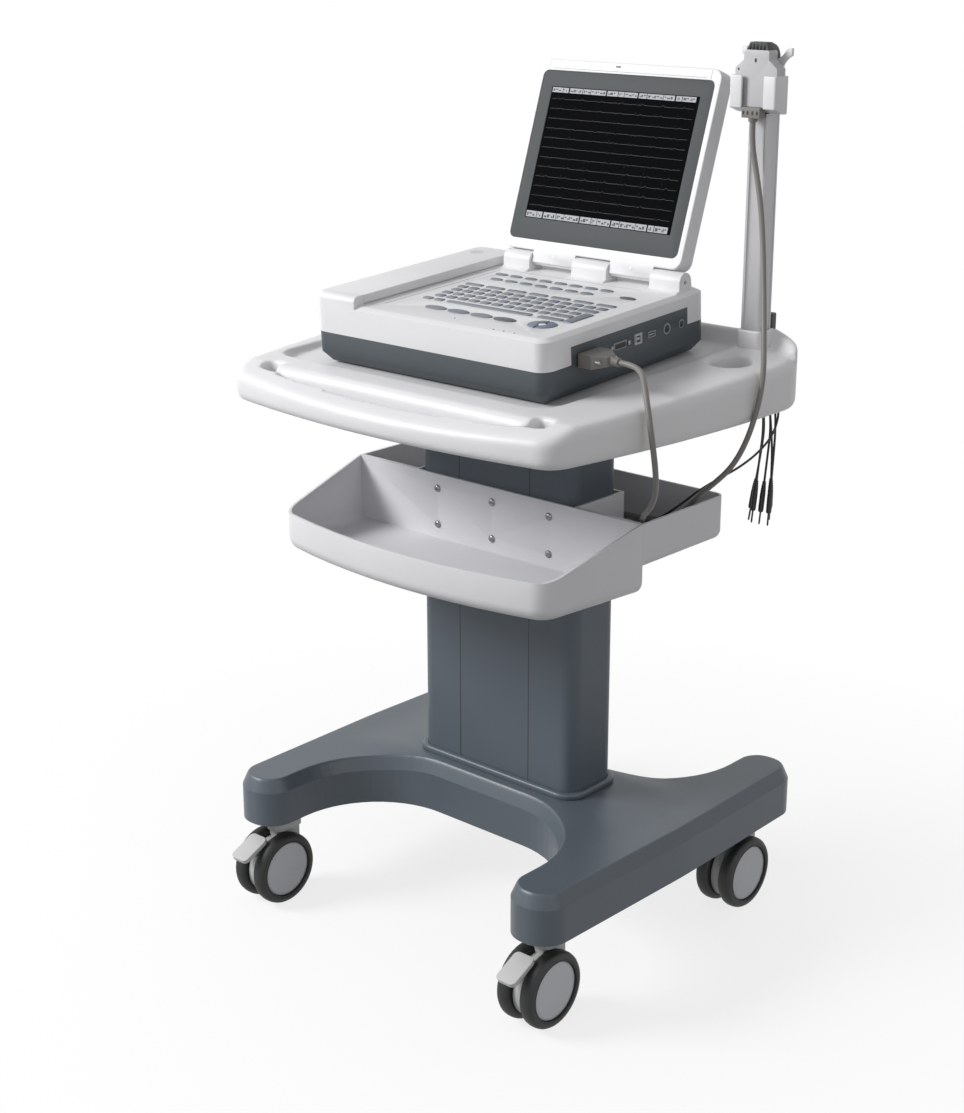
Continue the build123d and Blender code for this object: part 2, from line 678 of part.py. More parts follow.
def port_sockets():
    """The sockets, with the hollows that plugs go into."""
    dsub, vga, network, usb, din, jack = port_shapes()
    network -= block((wall_x - 12, wall_x + 2), (net_y - 6, net_y + 6), (port_z - 4, port_z + 4))
    usb -= block((wall_x - 11, wall_x + 2), (usb_y - 6.2, usb_y + 6.2), (port_z - 2.5, port_z + 2.5))
    din -= Pos(wall_x - 3, din_y, port_z) * Rotation(0, 90, 0) * Cylinder(5.0, 12)
    jack -= Pos(wall_x - 3, jack_y, port_z) * Rotation(0, 90, 0) * Cylinder(3.2, 12)
    vga -= block((wall_x - 1, wall_x + 2), (vga_y - 9.5, vga_y + 9.5), (port_z - 3, port_z + 3))
    return [dsub, vga, network, usb, din, jack]


def bearing_blocks(x_half, gap, z):
    """Blocks beyond each end of the platen roller."""
    ends = ((platen_y[0] - 9.5, platen_y[0] - 1), (platen_y[1] + 1, platen_y[1] + 9.5))
    x = platen_at[0]
    return [block((x - x_half, x + x_half), (y[0] - gap, y[1] + gap), z) for y in ends]


def recorder_base():
    """Dark lower case with a bevelled foot and the port wall on its right side."""
    def tub(inset, z0, z1):
        body = block((rec_x[0] + inset, rec_x[1] - inset), (rec_y[0] + inset, rec_y[1] - inset),
                     (z0, z1), rec_r - inset)
        return chamfer(top_edges(body, z0), bevel - inset / 2)

    case = tub(0, 0, split_z) - tub(shell_wall, shell_wall, split_z + 1)
    case += block((wall_x - shell_wall, wall_x), (port_y[0] + soft_gap, port_y[1] - soft_gap),
                  (split_z - 1, port_top - soft_gap))
    for y in (-130, 10):
        for x in (-90, 150):
            case += Pos(x, y, (shell_wall + board_z[0]) / 2 - 0.1) * Cylinder(
                4, board_z[0] - shell_wall + 0.2 - seat_gap)
    for part in bearing_blocks(7, 0, (shell_wall - 0.2, platen_at[1] + 7)):
        case += part
    case -= rod((platen_at[0], platen_y[0] - 20, platen_at[1]),
                (platen_at[0], platen_y[1] + 20, platen_at[1]), platen_shaft_r + running_gap)
    for socket in port_shapes():
        case -= offset(socket, seat_gap)
    return case


def recorder_feet():
    return [Pos(x, y, -foot_h / 2) * Cylinder(foot_disc_r, foot_h)
            for x in (rec_x[0] + 30, rec_x[1] - 30) for y in (rec_y[0] + 30, rec_y[1] - 30)]


def main_board():
    board = block((-100, 160), (-140, 20), board_z, 3)
    board += block((-40, 0), (-70, -30), (board_z[1] - 0.1, board_z[1] + 3))
    board += block((40, 70), (-100, -70), (board_z[1] - 0.1, board_z[1] + 4))
    return board


def key_layout():
    """Key caps by group: centre x, centre y, width, depth; round caps have a True at the end."""
    letters = [(-82.5 + 36.2 * i, 14, 29, 7.5, False) for i in range(7)]
    for y, start, count in ((-2.6, -87.6, 13), (-19, -83.5, 11), (-36, -83.8, 12), (-53, -80, 11)):
        letters += [(start + 19.1 * i, y, 14, 10, False) for i in range(count)]
    letters += [(133, -19, 28, 10, False), (126.5, -53, 19, 10, False), (145, -53, 14, 45, False),
                (-84.4, -71, 14, 9, False), (-65.3, -71, 14, 9, False),
                (18, -71, 138, 8, False), (117, -71, 38, 9, False)]
    return {
        "function_keys": [(-90.4 + 25.2 * i, 76.5, 20, 9.5, True) for i in range(8)] +
                         [(-77.9 + 25.2 * i, 52, 20, 9.5, True) for i in range(7)],
        "letter_keys": letters,
        "menu_keys": [(-40 + 37.8 * i, -104.5, 34, 15, True) for i in range(4)],
        "nav_pad": [(128, -99, 38, 32, True)],
        "power_key": [(133.5, 58.2, 24, 10, True)],
    }


def key_cap(key, grow, z):
    x, y, w, d, is_round = key
    if is_round:
        shape = Ellipse(w / 2 + grow, d / 2 + grow)
    else:
        shape = RectangleRounded(w + 2 * grow, d + 2 * grow, 3)
    return extrude(Pos(x, y, z[0]) * shape, z[1] - z[0])


def key_group(keys):
    """Caps standing on one common mat under the deck."""
    under = rec_top - shell_wall
    margin = 2.5
    x = (min(k[0] - k[2] / 2 for k in keys) - margin, max(k[0] + k[2] / 2 for k in keys) + margin)
    y = (min(k[1] - k[3] / 2 for k in keys) - margin, max(k[1] + k[3] / 2 for k in keys) + margin)
    mat = block(x, y, (under - 2 * seat_gap - key_mat_t, under - 2 * seat_gap))
    return mat + [key_cap(k, 0, (under - 0.5, rec_top + key_proud)) for k in keys]


def printer_block():
    """Outer form of the raised block that houses the printer."""
    top = rec_top + door_t
    return fillet(top_edges(block(rec_x, rec_y, (rec_top - 10, top), rec_r), top), hump_round)


def recorder_deck():
    """White upper case: key deck, printer block's ends, hinge knuckles."""
    deck = bevel_top(block(rec_x, rec_y, (split_z + seat_gap, rec_top), rec_r), deck_bevel)
    x, z = (rec_x[0] - 1, door_x[1]), (rec_top - 5, rec_top + door_t + 1)
    deck += printer_block() & (block(x, (rec_y[0] - 1, door_y[0] - soft_gap), z) +
                               block(x, (door_y[1] + soft_gap, rec_y[1] + 1), z))
    deck -= block((rec_x[0] + shell_wall, rec_x[1] - shell_wall),
                  (rec_y[0] + shell_wall, rec_y[1] - shell_wall),
                  (split_z - 1, rec_top - shell_wall), rec_r - shell_wall)
    deck -= block((wall_x - shell_wall - 1, wall_x + 1), port_y, (split_z - 1, port_top))
    deck -= block(bay_x, bay_y, (rec_top - 5, rec_top + 3))
    deck -= [key_cap(k, key_gap, (rec_top - 5, rec_top + 5))
             for keys in key_layout().values() for k in keys]
    deck -= block((rec_x[0] - 1, rec_x[0] + shell_wall + 1), platen_y, (platen_at[1] - 3, platen_at[1] - 0.5))
    hx, hz = door_axis
    deck -= rod((hx, door_y[0] - 6, hz), (hx, door_y[1] + 6, hz), door_pin_r + running_gap)
    front = hinge_y - knuckle_r
    ramp = [(front - 9, rec_top - 0.5), (front - 0.6, rec_top + 3.3), (front, hinge_z),
            (hinge_y + knuckle_r, hinge_z), (hinge_y + knuckle_r + 1, rec_top - 0.5)]
    for x in knuckles:
        deck += side_profile(ramp, x) + rod((x[0], hinge_y, hinge_z), (x[1], hinge_y, hinge_z), knuckle_r)
    return deck - rod((knuckles[0][0] - 5, hinge_y, hinge_z), (knuckles[2][1] + 5, hinge_y, hinge_z),
                      hinge_pin_r + seat_gap)


def printer_door():
    """Cover of the paper bay; it swings up about its inner edge."""
    z = (rec_top + soft_gap, rec_top + door_t)
    door = block(door_x, door_y, z)
    low_right = top_edges(door, z[0]).filter_by(Axis.Y).sort_by(Axis.X)[-1]
    door = chamfer(low_right, 1.5)
    door = fillet(top_edges(door, z[1]).filter_by(Axis.Y).sort_by(Axis.X)[-1], 1.5) & printer_block()
    door -= block((door_x[0] + 8, door_x[1] - 9), (door_y[0] + 5, door_y[1] - 5), (z[0] - 1, z[1] - 4))
    hx, hz = door_axis
    return door + rod((hx, door_y[0] - 5, hz), (hx, door_y[1] + 5, hz), door_pin_r)


def platen_roller():
    x, z = platen_at
    return rod((x, platen_y[0], z), (x, platen_y[1], z), platen_r) + \
        rod((x, platen_y[0] - 9, z), (x, platen_y[1] + 9, z), platen_shaft_r)


def paper_roll():
    """Roll of recording paper lying in its bay."""
    x, z = (bay_x[0] + bay_x[1]) / 2 + 3, shell_wall + seat_gap + paper_r
    return rod((x, platen_y[0] + 1, z), (x, platen_y[1] - 1, z), paper_r)


def battery():
    return block((40, 160), (45, 125), (shell_wall + seat_gap, 26), 3)


# ------------------------------------------------------------------ lid
axis_point = recorder_frame(Pos(0, hinge_y, hinge_z)).position
up = Vector(0, sin(radians(lid_tilt)), cos(radians(lid_tilt)))
out = Vector(0, -cos(radians(lid_tilt)), sin(radians(lid_tilt)))
lid_origin = axis_point - up * hinge_u + out * hinge_back
lid_frame = Plane(origin=lid_origin, x_dir=(1, 0, 0), z_dir=out).location


def lid_back():
    """White back shell with the two hinge tabs."""
    cx = lid_centre_x
    shell = block((cx - lid_half_x, cx + lid_half_x), lid_u, (-lid_t, 0), lid_r)
    shell = fillet(top_edges(shell, -lid_t), 5)
    shell = fillet(top_edges(shell, 0), 1.5)
    seat = bezel_recess + bezel_t
    shell -= block((cx - bezel_half_x - seat_gap, cx + bezel_half_x + seat_gap),
                   (bezel_u[0] - seat_gap, bezel_u[1] + seat_gap), (-seat - seat_gap, 1), 9)
    shell -= block((cx - bezel_half_x + 3, cx + bezel_half_x - 3), (bezel_u[0] + 3, bezel_u[1] - 3),
                   (-lid_t + shell_wall, 1), 6)
    for x in ((knuckles[0][1], knuckles[1][0]), (knuckles[1][1], knuckles[2][0])):
        tab = block((x[0] + knuckle_gap, x[1] - knuckle_gap), (hinge_u - barrel_r / 2, lid_u[0] + 2),
                    (-hinge_back - barrel_r, 0))
        tab += rod((x[0] + knuckle_gap, hinge_u, -hinge_back), (x[1] - knuckle_gap, hinge_u, -hinge_back),
                   barrel_r)
        shell += tab
    shell -= rod((cx - lid_half_x, hinge_u, -hinge_back), (cx + lid_half_x, hinge_u, -hinge_back),
                 hinge_pin_r + running_gap)
    return shell


def lid_bezel():
    cx = lid_centre_x
    z = (-bezel_recess - bezel_t, -bezel_recess)
    frame = block((cx - bezel_half_x, cx + bezel_half_x), bezel_u, z, 9)
    return frame - block((cx - screen_half_x, cx + screen_half_x), screen_u, (-20, 5))


def lcd_panel():
    """Flat panel behind the bezel's window; its glass is raised into the window."""
    cx, grow = lid_centre_x, lcd_border
    back = -bezel_recess - bezel_t - seat_gap
    panel = block((cx - screen_half_x - grow, cx + screen_half_x + grow),
                  (screen_u[0] - grow, screen_u[1] + grow), (back - lcd_t, back))
    glass = block((cx - screen_half_x + seat_gap, cx + screen_half_x - seat_gap),
                  (screen_u[0] + seat_gap, screen_u[1] - seat_gap), (back - 0.5, back + bezel_t - 0.8))
    return panel + glass


def hinge_pins():
    """Two pins, in the recorder's frame."""
    middle = (knuckles[1][0] + knuckles[1][1]) / 2
    spans = ((knuckles[0][0] + 2, middle - 2), (middle + 2, knuckles[2][1] - 2))
    return [rod((a, hinge_y, hinge_z), (b, hinge_y, hinge_z), hinge_pin_r) for a, b in spans]


# ------------------------------------------------------------------ cords
cable_r = 3.5
trunk_r = 4.0
lead_r = 1.5
plug_reach = 228.0       # where the data cable leaves its plug, in the recorder's frame
box_plug_z = (1060.0, 1064.5)


def data_plugs():
    """Plug hoods at both ends of the data cable."""
    z = (port_z - 8, port_z + 8)
    hood = block((wall_x + 1 + seat_gap, wall_x + 22), (dsub_y - 20, dsub_y + 20), z, 1.5)
    hood += loft([Plane.YZ.offset(wall_x + 21.5) * Pos(dsub_y, port_z) * Rectangle(40, 15.9),
                  Plane.YZ.offset(wall_x + 36) * Pos(dsub_y, port_z) * Rectangle(16, 11)])
    hood += rod((wall_x + 34, dsub_y, port_z), (plug_reach, dsub_y, port_z), cable_r + 2)
    cx, y = post_at[0], box_front_y - 2.5
    block_plug = block((cx - 13.5, cx + 13.5), (y - 6, y + 6), (box_plug_z[1], box_low_z - seat_gap), 1.5)
    block_plug += rod((cx, y, box_plug_z[0]), (cx, y, box_plug_z[1] + 1), cable_r + 2)
    return [recorder_frame(hood), block_plug]


lay_z = rear_bin_z0 + bin_wall + cable_r + soft_gap    # axis of a cable lying in the rear bin
cable_route = [
    tuple(recorder_frame(Pos(plug_reach, dsub_y, port_z)).position),
    tuple(recorder_frame(Pos(plug_reach + 17, dsub_y, port_z)).position),
    (265, -87, 797), (286, -98, 783), (304, -109, 757), (310, -113, 722), (307, -108, 688),
    (296, -96, 656), (274, -78, 631), (248, -55, 613), (226, -28, 597),
    (206, -2, 575), (182, 26, 556), (152, 54, lay_z), (108, 60, lay_z), (40, 57, lay_z),
    (-36, 59, lay_z), (-104, 60, lay_z), (-146, 57, lay_z), (-177, 35, lay_z), (-203, 26, lay_z),
    (-224, 38, lay_z), (-229, 62, lay_z), (-218, 84, lay_z), (-192, 98, lay_z), (-146, 103, lay_z), (-76, 101, lay_z),
    (0, 103, lay_z), (74, 101, lay_z), (134, 102, 549), (176, 94, 557), (209, 82, 579),
    (236, 72, 606), (262, 69, 628), (285, 72, 652), (302, 75, 684), (312, 81, 724),
    (314, 90, 765), (305, 101, 808), (289, 121, 852), (273, 139, 909), (261, 148, 960),
    (248, 153, 1003), (241, 152, 1034), (241, box_front_y - 2.5, box_plug_z[0]),
]
trunk_start = (post_at[0], 171.0, 1148.0)
yoke_top = (226.0, 225.0, 815.0)
yoke_h = 30.0
trunk_route = [
    trunk_start, (241, 190, 1148), (237, 206, 1136), (231, 214, 1110), (225, 215, 1068),
    (222, 214, 1015), (223, 216, 958), (221, 217, 905), (226, 225, 862), yoke_top,
]
yoke_exit_z = yoke_top[2] - yoke_h
lead_routes = [
    [(218, 225, yoke_exit_z), (218, 225, 752), (223, 223, 712), (230, 225, 668), (228, 222, 632),
     (222, 222, 594)],
    [(222, 225, yoke_exit_z), (222, 225, 746), (228, 220, 702), (232, 219, 662), (230, 216, 626),
     (227, 216, 594)],
    [(226, 225, yoke_exit_z), (226, 225, 750), (232, 228, 706), (236, 230, 664), (235, 227, 628),
     (233, 225, 592)],
    [(230, 225, yoke_exit_z), (230, 225, 744), (236, 223, 704), (241, 224, 660), (240, 230, 628),
     (238, 233, 595)],
    [(234, 225, yoke_exit_z), (234, 225, 748), (240, 230, 706), (244, 229, 664), (246, 224, 628),
     (245, 223, 593)],
    [(226, 228.8, yoke_exit_z), (226, 228.8, 756), (232, 237, 723), (246, 234, 690), (256, 208, 664),
     (255, 176, 645), (247, 145, 630), (234, 124, 619), (214, 104, 602), (193, 91, 580),
     (168, 84, 560), (143, 80.5, 549.6), (118, 79, 549.3)],
]
lead_plug_l = 42.0
pin_l = 17.0


def cord_path(route, name):
    """Straight runs joined by arcs as large as their runs allow."""
    points = [Vector(*p) for p in route]
    radii = []
    for a, b, c in zip(points, points[1:], points[2:]):
        turn = radians((b - a).get_angle(c - b))
        radii.append(0.45 * min((b - a).length, (c - b).length) / tan(turn / 2))
    print(name, "smallest radii", [round(r, 1) for r in sorted(radii)[:4]])
    return FilletPolyline(*points, radius=radii)


def cord(route, r, name):
    path = cord_path(route, name)
    start = Plane(origin=path @ 0, z_dir=path % 0)
    tube = sweep(start * Circle(r), path=path)
    print(name, "length", round(path.length, 1), "volume ratio",
          round(tube.volume / (path.length * 3.14159265 * r * r), 4))
    return tube


def lead_yoke():
    x, y, top = yoke_top
    body = block((x - 11, x + 11), (y - 6, y + 6), (top - yoke_h, top), 3)
    return body


def lead_plugs():
    """Tapered plug bodies with their pins, in line with the ends of the leads."""
    plugs = []
    for route in lead_routes:
        top = Vector(*route[-1])
        along = (top - Vector(*route[-2])).normalized()
        low = top + along * lead_plug_l
        body = loft([Plane(origin=top, z_dir=along) * Circle(2.4),
                     Plane(origin=top + along * 14, z_dir=along) * Circle(3.4),
                     Plane(origin=low, z_dir=along) * Circle(3.6)], ruled=True)
        plugs.append(body + rod(low - along, low + along * pin_l, 1.2))
    return plugs


# ------------------------------------------------------------------ the whole object
def assembly():
    nodes = {}
    places = {"front_left": (-castor_x, -1), "front_right": (castor_x, -1),
              "rear_left": (-castor_x, 1), "rear_right": (castor_x, 1)}
    for name, (x, side) in places.items():
        parts = castor(x, side, side < 0)
        for kind in ("housing", "hubs", "tyres"):
            nodes[f"castor_{kind}_{name}"] = parts[kind]
        if "pedal" in parts:
            nodes[f"brake_pedal_{name}"] = parts["pedal"]
    nodes.update(castor_stems=castor_stems(), base_cover=base_cover(), base_frame=base_frame(),
                 column_core=column_core(), column_panels=column_panels(),
                 column_collar=column_collar(), tray=tray(), tray_plate=tray_plate(),
                 front_bin=front_bin(), rear_bin=rear_bin(), bin_screws=bin_screws(), post=post(),
                 post_socket=post_socket(), holder_bracket=holder_bracket(), hook_plate=hook_plate(),
                 acquisition_case=acquisition_case(), lead_connector=lead_connector())
    recorder = {"recorder_base": recorder_base(), "recorder_deck": recorder_deck(),
                "port_sockets": port_sockets(), "recorder_feet": recorder_feet(),
                "main_board": main_board(), "battery": battery(), "paper_roll": paper_roll(),
                "platen_roller": platen_roller(), "printer_door": printer_door(),
                "hinge_pins": hinge_pins()}
    recorder.update({name: key_group(keys) for name, keys in key_layout().items()})
    for name, shape in recorder.items():
        nodes[name] = [recorder_frame(s) for s in as_solids(shape)]
    for name, shape in (("lid_back", lid_back()), ("lid_bezel", lid_bezel()),
                        ("lcd_panel", lcd_panel())):
        nodes[name] = [lid_frame * s for s in as_solids(shape)]
    return nodes


def cords():
    nodes = {"data_plugs": data_plugs(), "data_cable": cord(cable_route, cable_r, "data_cable"),
             "lead_trunk": cord(trunk_route, trunk_r, "lead_trunk"), "lead_yoke": lead_yoke(),
             "lead_plugs": lead_plugs()}
    for i, route in enumerate(lead_routes):
        nodes[f"lead_wire_{i + 1}"] = cord(route, lead_r, f"lead_wire_{i + 1}")
    return nodes


def as_solids(shape):
    if isinstance(shape, (list, tuple)):
        return [solid for item in shape for solid in as_solids(item)]
    return list(shape.solids())


fixed, loose = assembly(), cords()
box = Compound([s for shape in fixed.values() for s in as_solids(shape)]).bounding_box()
shift = Vector(-(box.min.X + box.max.X) / 2, -(box.min.Y + box.max.Y) / 2, -box.min.Z)
print("nodes", len(fixed) + len(loose), "shift", shift, "size", box.size)

if __name__ == "__main__":
    os.makedirs("parts", exist_ok=True)
    for name, shape in (fixed | loose).items():
        solids = [Pos(*shift) * s for s in as_solids(shape)]
        export_step(solids[0] if len(solids) == 1 else Compound(solids), f"parts/{name}.step")
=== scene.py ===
# %% [markdown]
# # An ECG recorder on its trolley
# A hospital ECG recorder looks like a thick laptop. It sits on a trolley made of large plastic
# mouldings: a tray, two bins and an H-shaped foot on castors. The measured model gives every
# place and every moving body. This file adds the soft edges, surfaces, cords, screen and light.
#
# Large mouldings are the lesson here. A moulding has no sharp edge anywhere, because plastic has
# to flow round it, and its surface is slightly uneven and slightly shiny.

from math import cos, pi, radians, sin

import bmesh
import bpy
from mathutils import Matrix, Vector


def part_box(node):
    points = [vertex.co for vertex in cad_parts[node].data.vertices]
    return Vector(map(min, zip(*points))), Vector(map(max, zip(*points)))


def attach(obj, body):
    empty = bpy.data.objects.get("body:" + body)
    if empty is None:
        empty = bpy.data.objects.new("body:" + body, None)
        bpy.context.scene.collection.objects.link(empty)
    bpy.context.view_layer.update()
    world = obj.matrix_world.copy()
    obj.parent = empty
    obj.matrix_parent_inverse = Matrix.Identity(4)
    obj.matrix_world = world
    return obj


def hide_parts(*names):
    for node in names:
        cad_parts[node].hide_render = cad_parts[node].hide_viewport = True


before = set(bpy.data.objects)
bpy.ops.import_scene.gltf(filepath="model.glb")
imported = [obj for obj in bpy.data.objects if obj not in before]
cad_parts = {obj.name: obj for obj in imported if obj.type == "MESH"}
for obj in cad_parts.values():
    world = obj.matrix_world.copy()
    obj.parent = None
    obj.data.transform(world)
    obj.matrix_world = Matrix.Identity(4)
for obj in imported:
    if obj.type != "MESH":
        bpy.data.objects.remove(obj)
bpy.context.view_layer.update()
core_low, core_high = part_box("column_core")
column_y = (core_low.y + core_high.y) / 2
print("column stands at y =", round(column_y, 4))

# %% [markdown]
# ## Working in millimetres
# A designer thinks in millimetres, and Blender in metres. Each piece below is shaped in
# millimetres about the column's foot, and one helper brings it into the shared frame, so its
# object stays at the origin, unturned and unscaled. The recorder lies tilted on the tray, so it
# and the lid each get a matrix of their own.

# %% Coordinates and finished pieces
CASE_TILT, LID_LEAN = radians(3.5), radians(18.5)
RECORDER = Matrix.Translation((0, 0, 762.6)) @ Matrix.Rotation(CASE_TILT, 4, "X")
HINGE = RECORDER @ Vector((0, 125.6, 90.7))
LID_UP = Vector((0, sin(LID_LEAN), cos(LID_LEAN)))
LID_OUT = Vector((0, -cos(LID_LEAN), sin(LID_LEAN)))
LID_ORIGIN = HINGE + LID_UP * 49.7 + LID_OUT * 8
LID = Matrix.Translation(LID_ORIGIN) @ Matrix((
    (1, 0, 0, 0), (0, LID_UP.y, LID_OUT.y, 0), (0, LID_UP.z, LID_OUT.z, 0), (0, 0, 0, 1)))
TO_FRAME = Matrix.Translation((0, column_y, 0)) @ Matrix.Scale(0.001, 4)


def metres(x, y, z):
    """A point given in millimetres about the column's foot, in the shared frame."""
    return TO_FRAME @ Vector((x, y, z))


def facing_right(x, y, z):
    """Where a turned part stands out of a wall that faces right."""
    return Matrix.Translation((x, y, z)) @ Matrix.Rotation(pi / 2, 4, "Y")


def repaint(node, material):
    """Gives a measured part, which keeps its shape, the right finish."""
    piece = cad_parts[node]
    piece.data.materials.clear()
    piece.data.materials.append(material)


def finish_piece(bm, name, body, material, replaces=(), smooth=40, place=None):
    """Turns a millimetre bmesh into a piece that rides on a body."""
    bmesh.ops.transform(bm, matrix=TO_FRAME @ (place or Matrix()), verts=bm.verts)
    mesh = bpy.data.meshes.new(name)
    bm.to_mesh(mesh)
    bm.free()
    piece = bpy.data.objects.new(name, mesh)
    bpy.context.scene.collection.objects.link(piece)
    mesh.materials.append(material)
    mesh.shade_smooth()
    mesh.set_sharp_from_angle(angle=radians(smooth))
    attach(piece, body)
    if replaces:
        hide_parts(*replaces)
    print(name, len(mesh.polygons), "faces")
    return piece

# %% [markdown]
# ## Moulded plastic and its relatives
# Most of the trolley is one material in three colours: injection-moulded plastic with a fine
# spark-eroded grain. Its colour hardly varies, but its gloss does, so the noise goes mainly into
# roughness and a very shallow bump. Object coordinates keep the grain at its real size: 1 m is
# 1 unit, so a scale of 900 gives grain about a millimetre across.

# %% Surface finishes
def tone(red, green, blue):
    """A colour as a colour picker shows it, made linear."""
    def linear(v):
        v /= 255
        return v / 12.92 if v <= 0.04045 else ((v + 0.055) / 1.055) ** 2.4
    return (linear(red), linear(green), linear(blue), 1.0)


def surface(name, colour, roughness, grain=900.0, depth=0.04, drift=0.03, gloss_drift=0.08,
            metal=0.0):
    """A plain finish: slow colour drift, uneven gloss and fine grain."""
    material = bpy.data.materials.new(name)
    material.use_nodes = True
    nodes, links = material.node_tree.nodes, material.node_tree.links
    shader = nodes["Principled BSDF"]
    shader.inputs["Metallic"].default_value = metal
    place = nodes.new("ShaderNodeTexCoord")

    slow = nodes.new("ShaderNodeTexNoise")
    slow.inputs["Scale"].default_value = 7.0
    slow.inputs["Detail"].default_value = 4.0
    links.new(place.outputs["Object"], slow.inputs["Vector"])
    shade = nodes.new("ShaderNodeValToRGB")
    shade.color_ramp.elements[0].position = 0.3
    shade.color_ramp.elements[1].position = 0.7
    shade.color_ramp.elements[0].color = [c * (1 - drift) for c in colour[:3]] + [1]
    shade.color_ramp.elements[1].color = [min(1, c * (1 + drift)) for c in colour[:3]] + [1]
    links.new(slow.outputs["Fac"], shade.inputs["Fac"])
    links.new(shade.outputs["Color"], shader.inputs["Base Color"])

    gloss = nodes.new("ShaderNodeMapRange")
    gloss.inputs["To Min"].default_value = roughness - gloss_drift
    gloss.inputs["To Max"].default_value = roughness + gloss_drift
    fine = nodes.new("ShaderNodeTexNoise")
    fine.inputs["Scale"].default_value = grain
    fine.inputs["Detail"].default_value = 2.0
    links.new(place.outputs["Object"], fine.inputs["Vector"])
    links.new(fine.outputs["Fac"], gloss.inputs["Value"])
    links.new(gloss.outputs["Result"], shader.inputs["Roughness"])
    bump = nodes.new("ShaderNodeBump")
    bump.inputs["Strength"].default_value = depth
    bump.inputs["Distance"].default_value = 0.0005
    links.new(fine.outputs["Fac"], bump.inputs["Height"])
    links.new(bump.outputs["Normal"], shader.inputs["Normal"])
    return material


tray_white = surface("tray_white", tone(228, 228, 230), 0.42)
bin_white = surface("bin_white", tone(222, 222, 225), 0.46)
case_white = surface("case_white", tone(229, 229, 231), 0.45, grain=1300)
base_slate = surface("base_slate", tone(84, 93, 102), 0.38, grain=700, depth=0.1)
column_slate = surface("column_slate", tone(82, 91, 100), 0.50, grain=700, depth=0.1)
recorder_slate = surface("recorder_slate", tone(66, 73, 78), 0.5, grain=1300)
print("first finishes made")

# %% [markdown]
# ## Camera, room and light
# The camera and the cords come first, because a cord has to be judged against the view it hangs
# in. Product pictures like this use a white sweep and large soft lamps, so nothing has a hard
# shadow except where the castors meet the floor.

# %% Camera
camera_data = bpy.data.cameras.new("camera")
camera = bpy.data.objects.new("camera", camera_data)
bpy.context.scene.collection.objects.link(camera)
camera.location = metres(1594.5, -1843.0, 1300.2)
camera.rotation_euler = (radians(90 - 18.339), radians(0.09), radians(41.923))
camera_data.sensor_width = 36.0
camera_data.lens = 1944.4 / 1113 * camera_data.sensor_width
camera_data.clip_end = 60.0
bpy.context.scene.camera = camera
print("lens", round(camera_data.lens, 1), "mm")

# %% [markdown]
# A white floor that is merely lit turns grey towards the horizon. So the camera, and anything as
# shiny as a mirror, sees mostly plain white, while the machine gets the light that a real floor
# would throw back. The share of plain white grows with distance, and the shadow stays near the
# castors. The sky is treated the same way.

# %% White for the camera
def seen_white(tree, shader_socket, share):
    """Mixes plain white into what the camera and mirrors see; share is a number or a socket."""
    path = tree.nodes.new("ShaderNodeLightPath")
    rays = tree.nodes.new("ShaderNodeMath")
    rays.operation = "MAXIMUM"
    tree.links.new(path.outputs["Is Camera Ray"], rays.inputs[0])
    tree.links.new(path.outputs["Is Glossy Ray"], rays.inputs[1])
    amount = tree.nodes.new("ShaderNodeMath")
    amount.operation = "MULTIPLY"
    if isinstance(share, float):
        amount.inputs[1].default_value = share
    else:
        tree.links.new(share, amount.inputs[1])
    tree.links.new(rays.outputs[0], amount.inputs[0])
    white = tree.nodes.new("ShaderNodeEmission")
    white.inputs["Strength"].default_value = 1.0
    mix = tree.nodes.new("ShaderNodeMixShader")
    tree.links.new(amount.outputs[0], mix.inputs["Fac"])
    tree.links.new(shader_socket, mix.inputs[1])
    tree.links.new(white.outputs[0], mix.inputs[2])
    return mix.outputs[0]

# %% Floor and sky
floor_material = bpy.data.materials.new("studio_floor")
floor_material.use_nodes = True
floor_tree = floor_material.node_tree
floor_shader = floor_tree.nodes["Principled BSDF"]
floor_shader.inputs["Roughness"].default_value = 0.9
floor_path = floor_tree.nodes.new("ShaderNodeLightPath")
floor_tone = floor_tree.nodes.new("ShaderNodeMix")
floor_tone.data_type = "RGBA"
floor_tone.inputs["A"].default_value = (0.3, 0.3, 0.3, 1)
floor_tone.inputs["B"].default_value = (1, 1, 1, 1)
floor_tree.links.new(floor_path.outputs["Is Camera Ray"], floor_tone.inputs["Factor"])
floor_tree.links.new(floor_tone.outputs["Result"], floor_shader.inputs["Base Color"])
floor_place = floor_tree.nodes.new("ShaderNodeTexCoord")
away = floor_tree.nodes.new("ShaderNodeVectorMath")
away.operation = "LENGTH"
floor_tree.links.new(floor_place.outputs["Object"], away.inputs[0])
fade = floor_tree.nodes.new("ShaderNodeMapRange")
fade.inputs["From Min"].default_value = 0.4
fade.inputs["From Max"].default_value = 1.1
fade.inputs["To Min"].default_value = 0.78
fade.inputs["To Max"].default_value = 1.0
floor_tree.links.new(away.outputs["Value"], fade.inputs["Value"])
floor_look = seen_white(floor_tree, floor_shader.outputs[0], fade.outputs["Result"])
floor_tree.links.new(floor_look, floor_tree.nodes["Material Output"].inputs["Surface"])

floor_mesh = bpy.data.meshes.new("studio_floor")
bm = bmesh.new()
bmesh.ops.create_grid(bm, x_segments=1, y_segments=1, size=40.0)
bm.to_mesh(floor_mesh)
bm.free()
floor = bpy.data.objects.new("studio_floor", floor_mesh)
bpy.context.scene.collection.objects.link(floor)
floor_mesh.materials.append(floor_material)

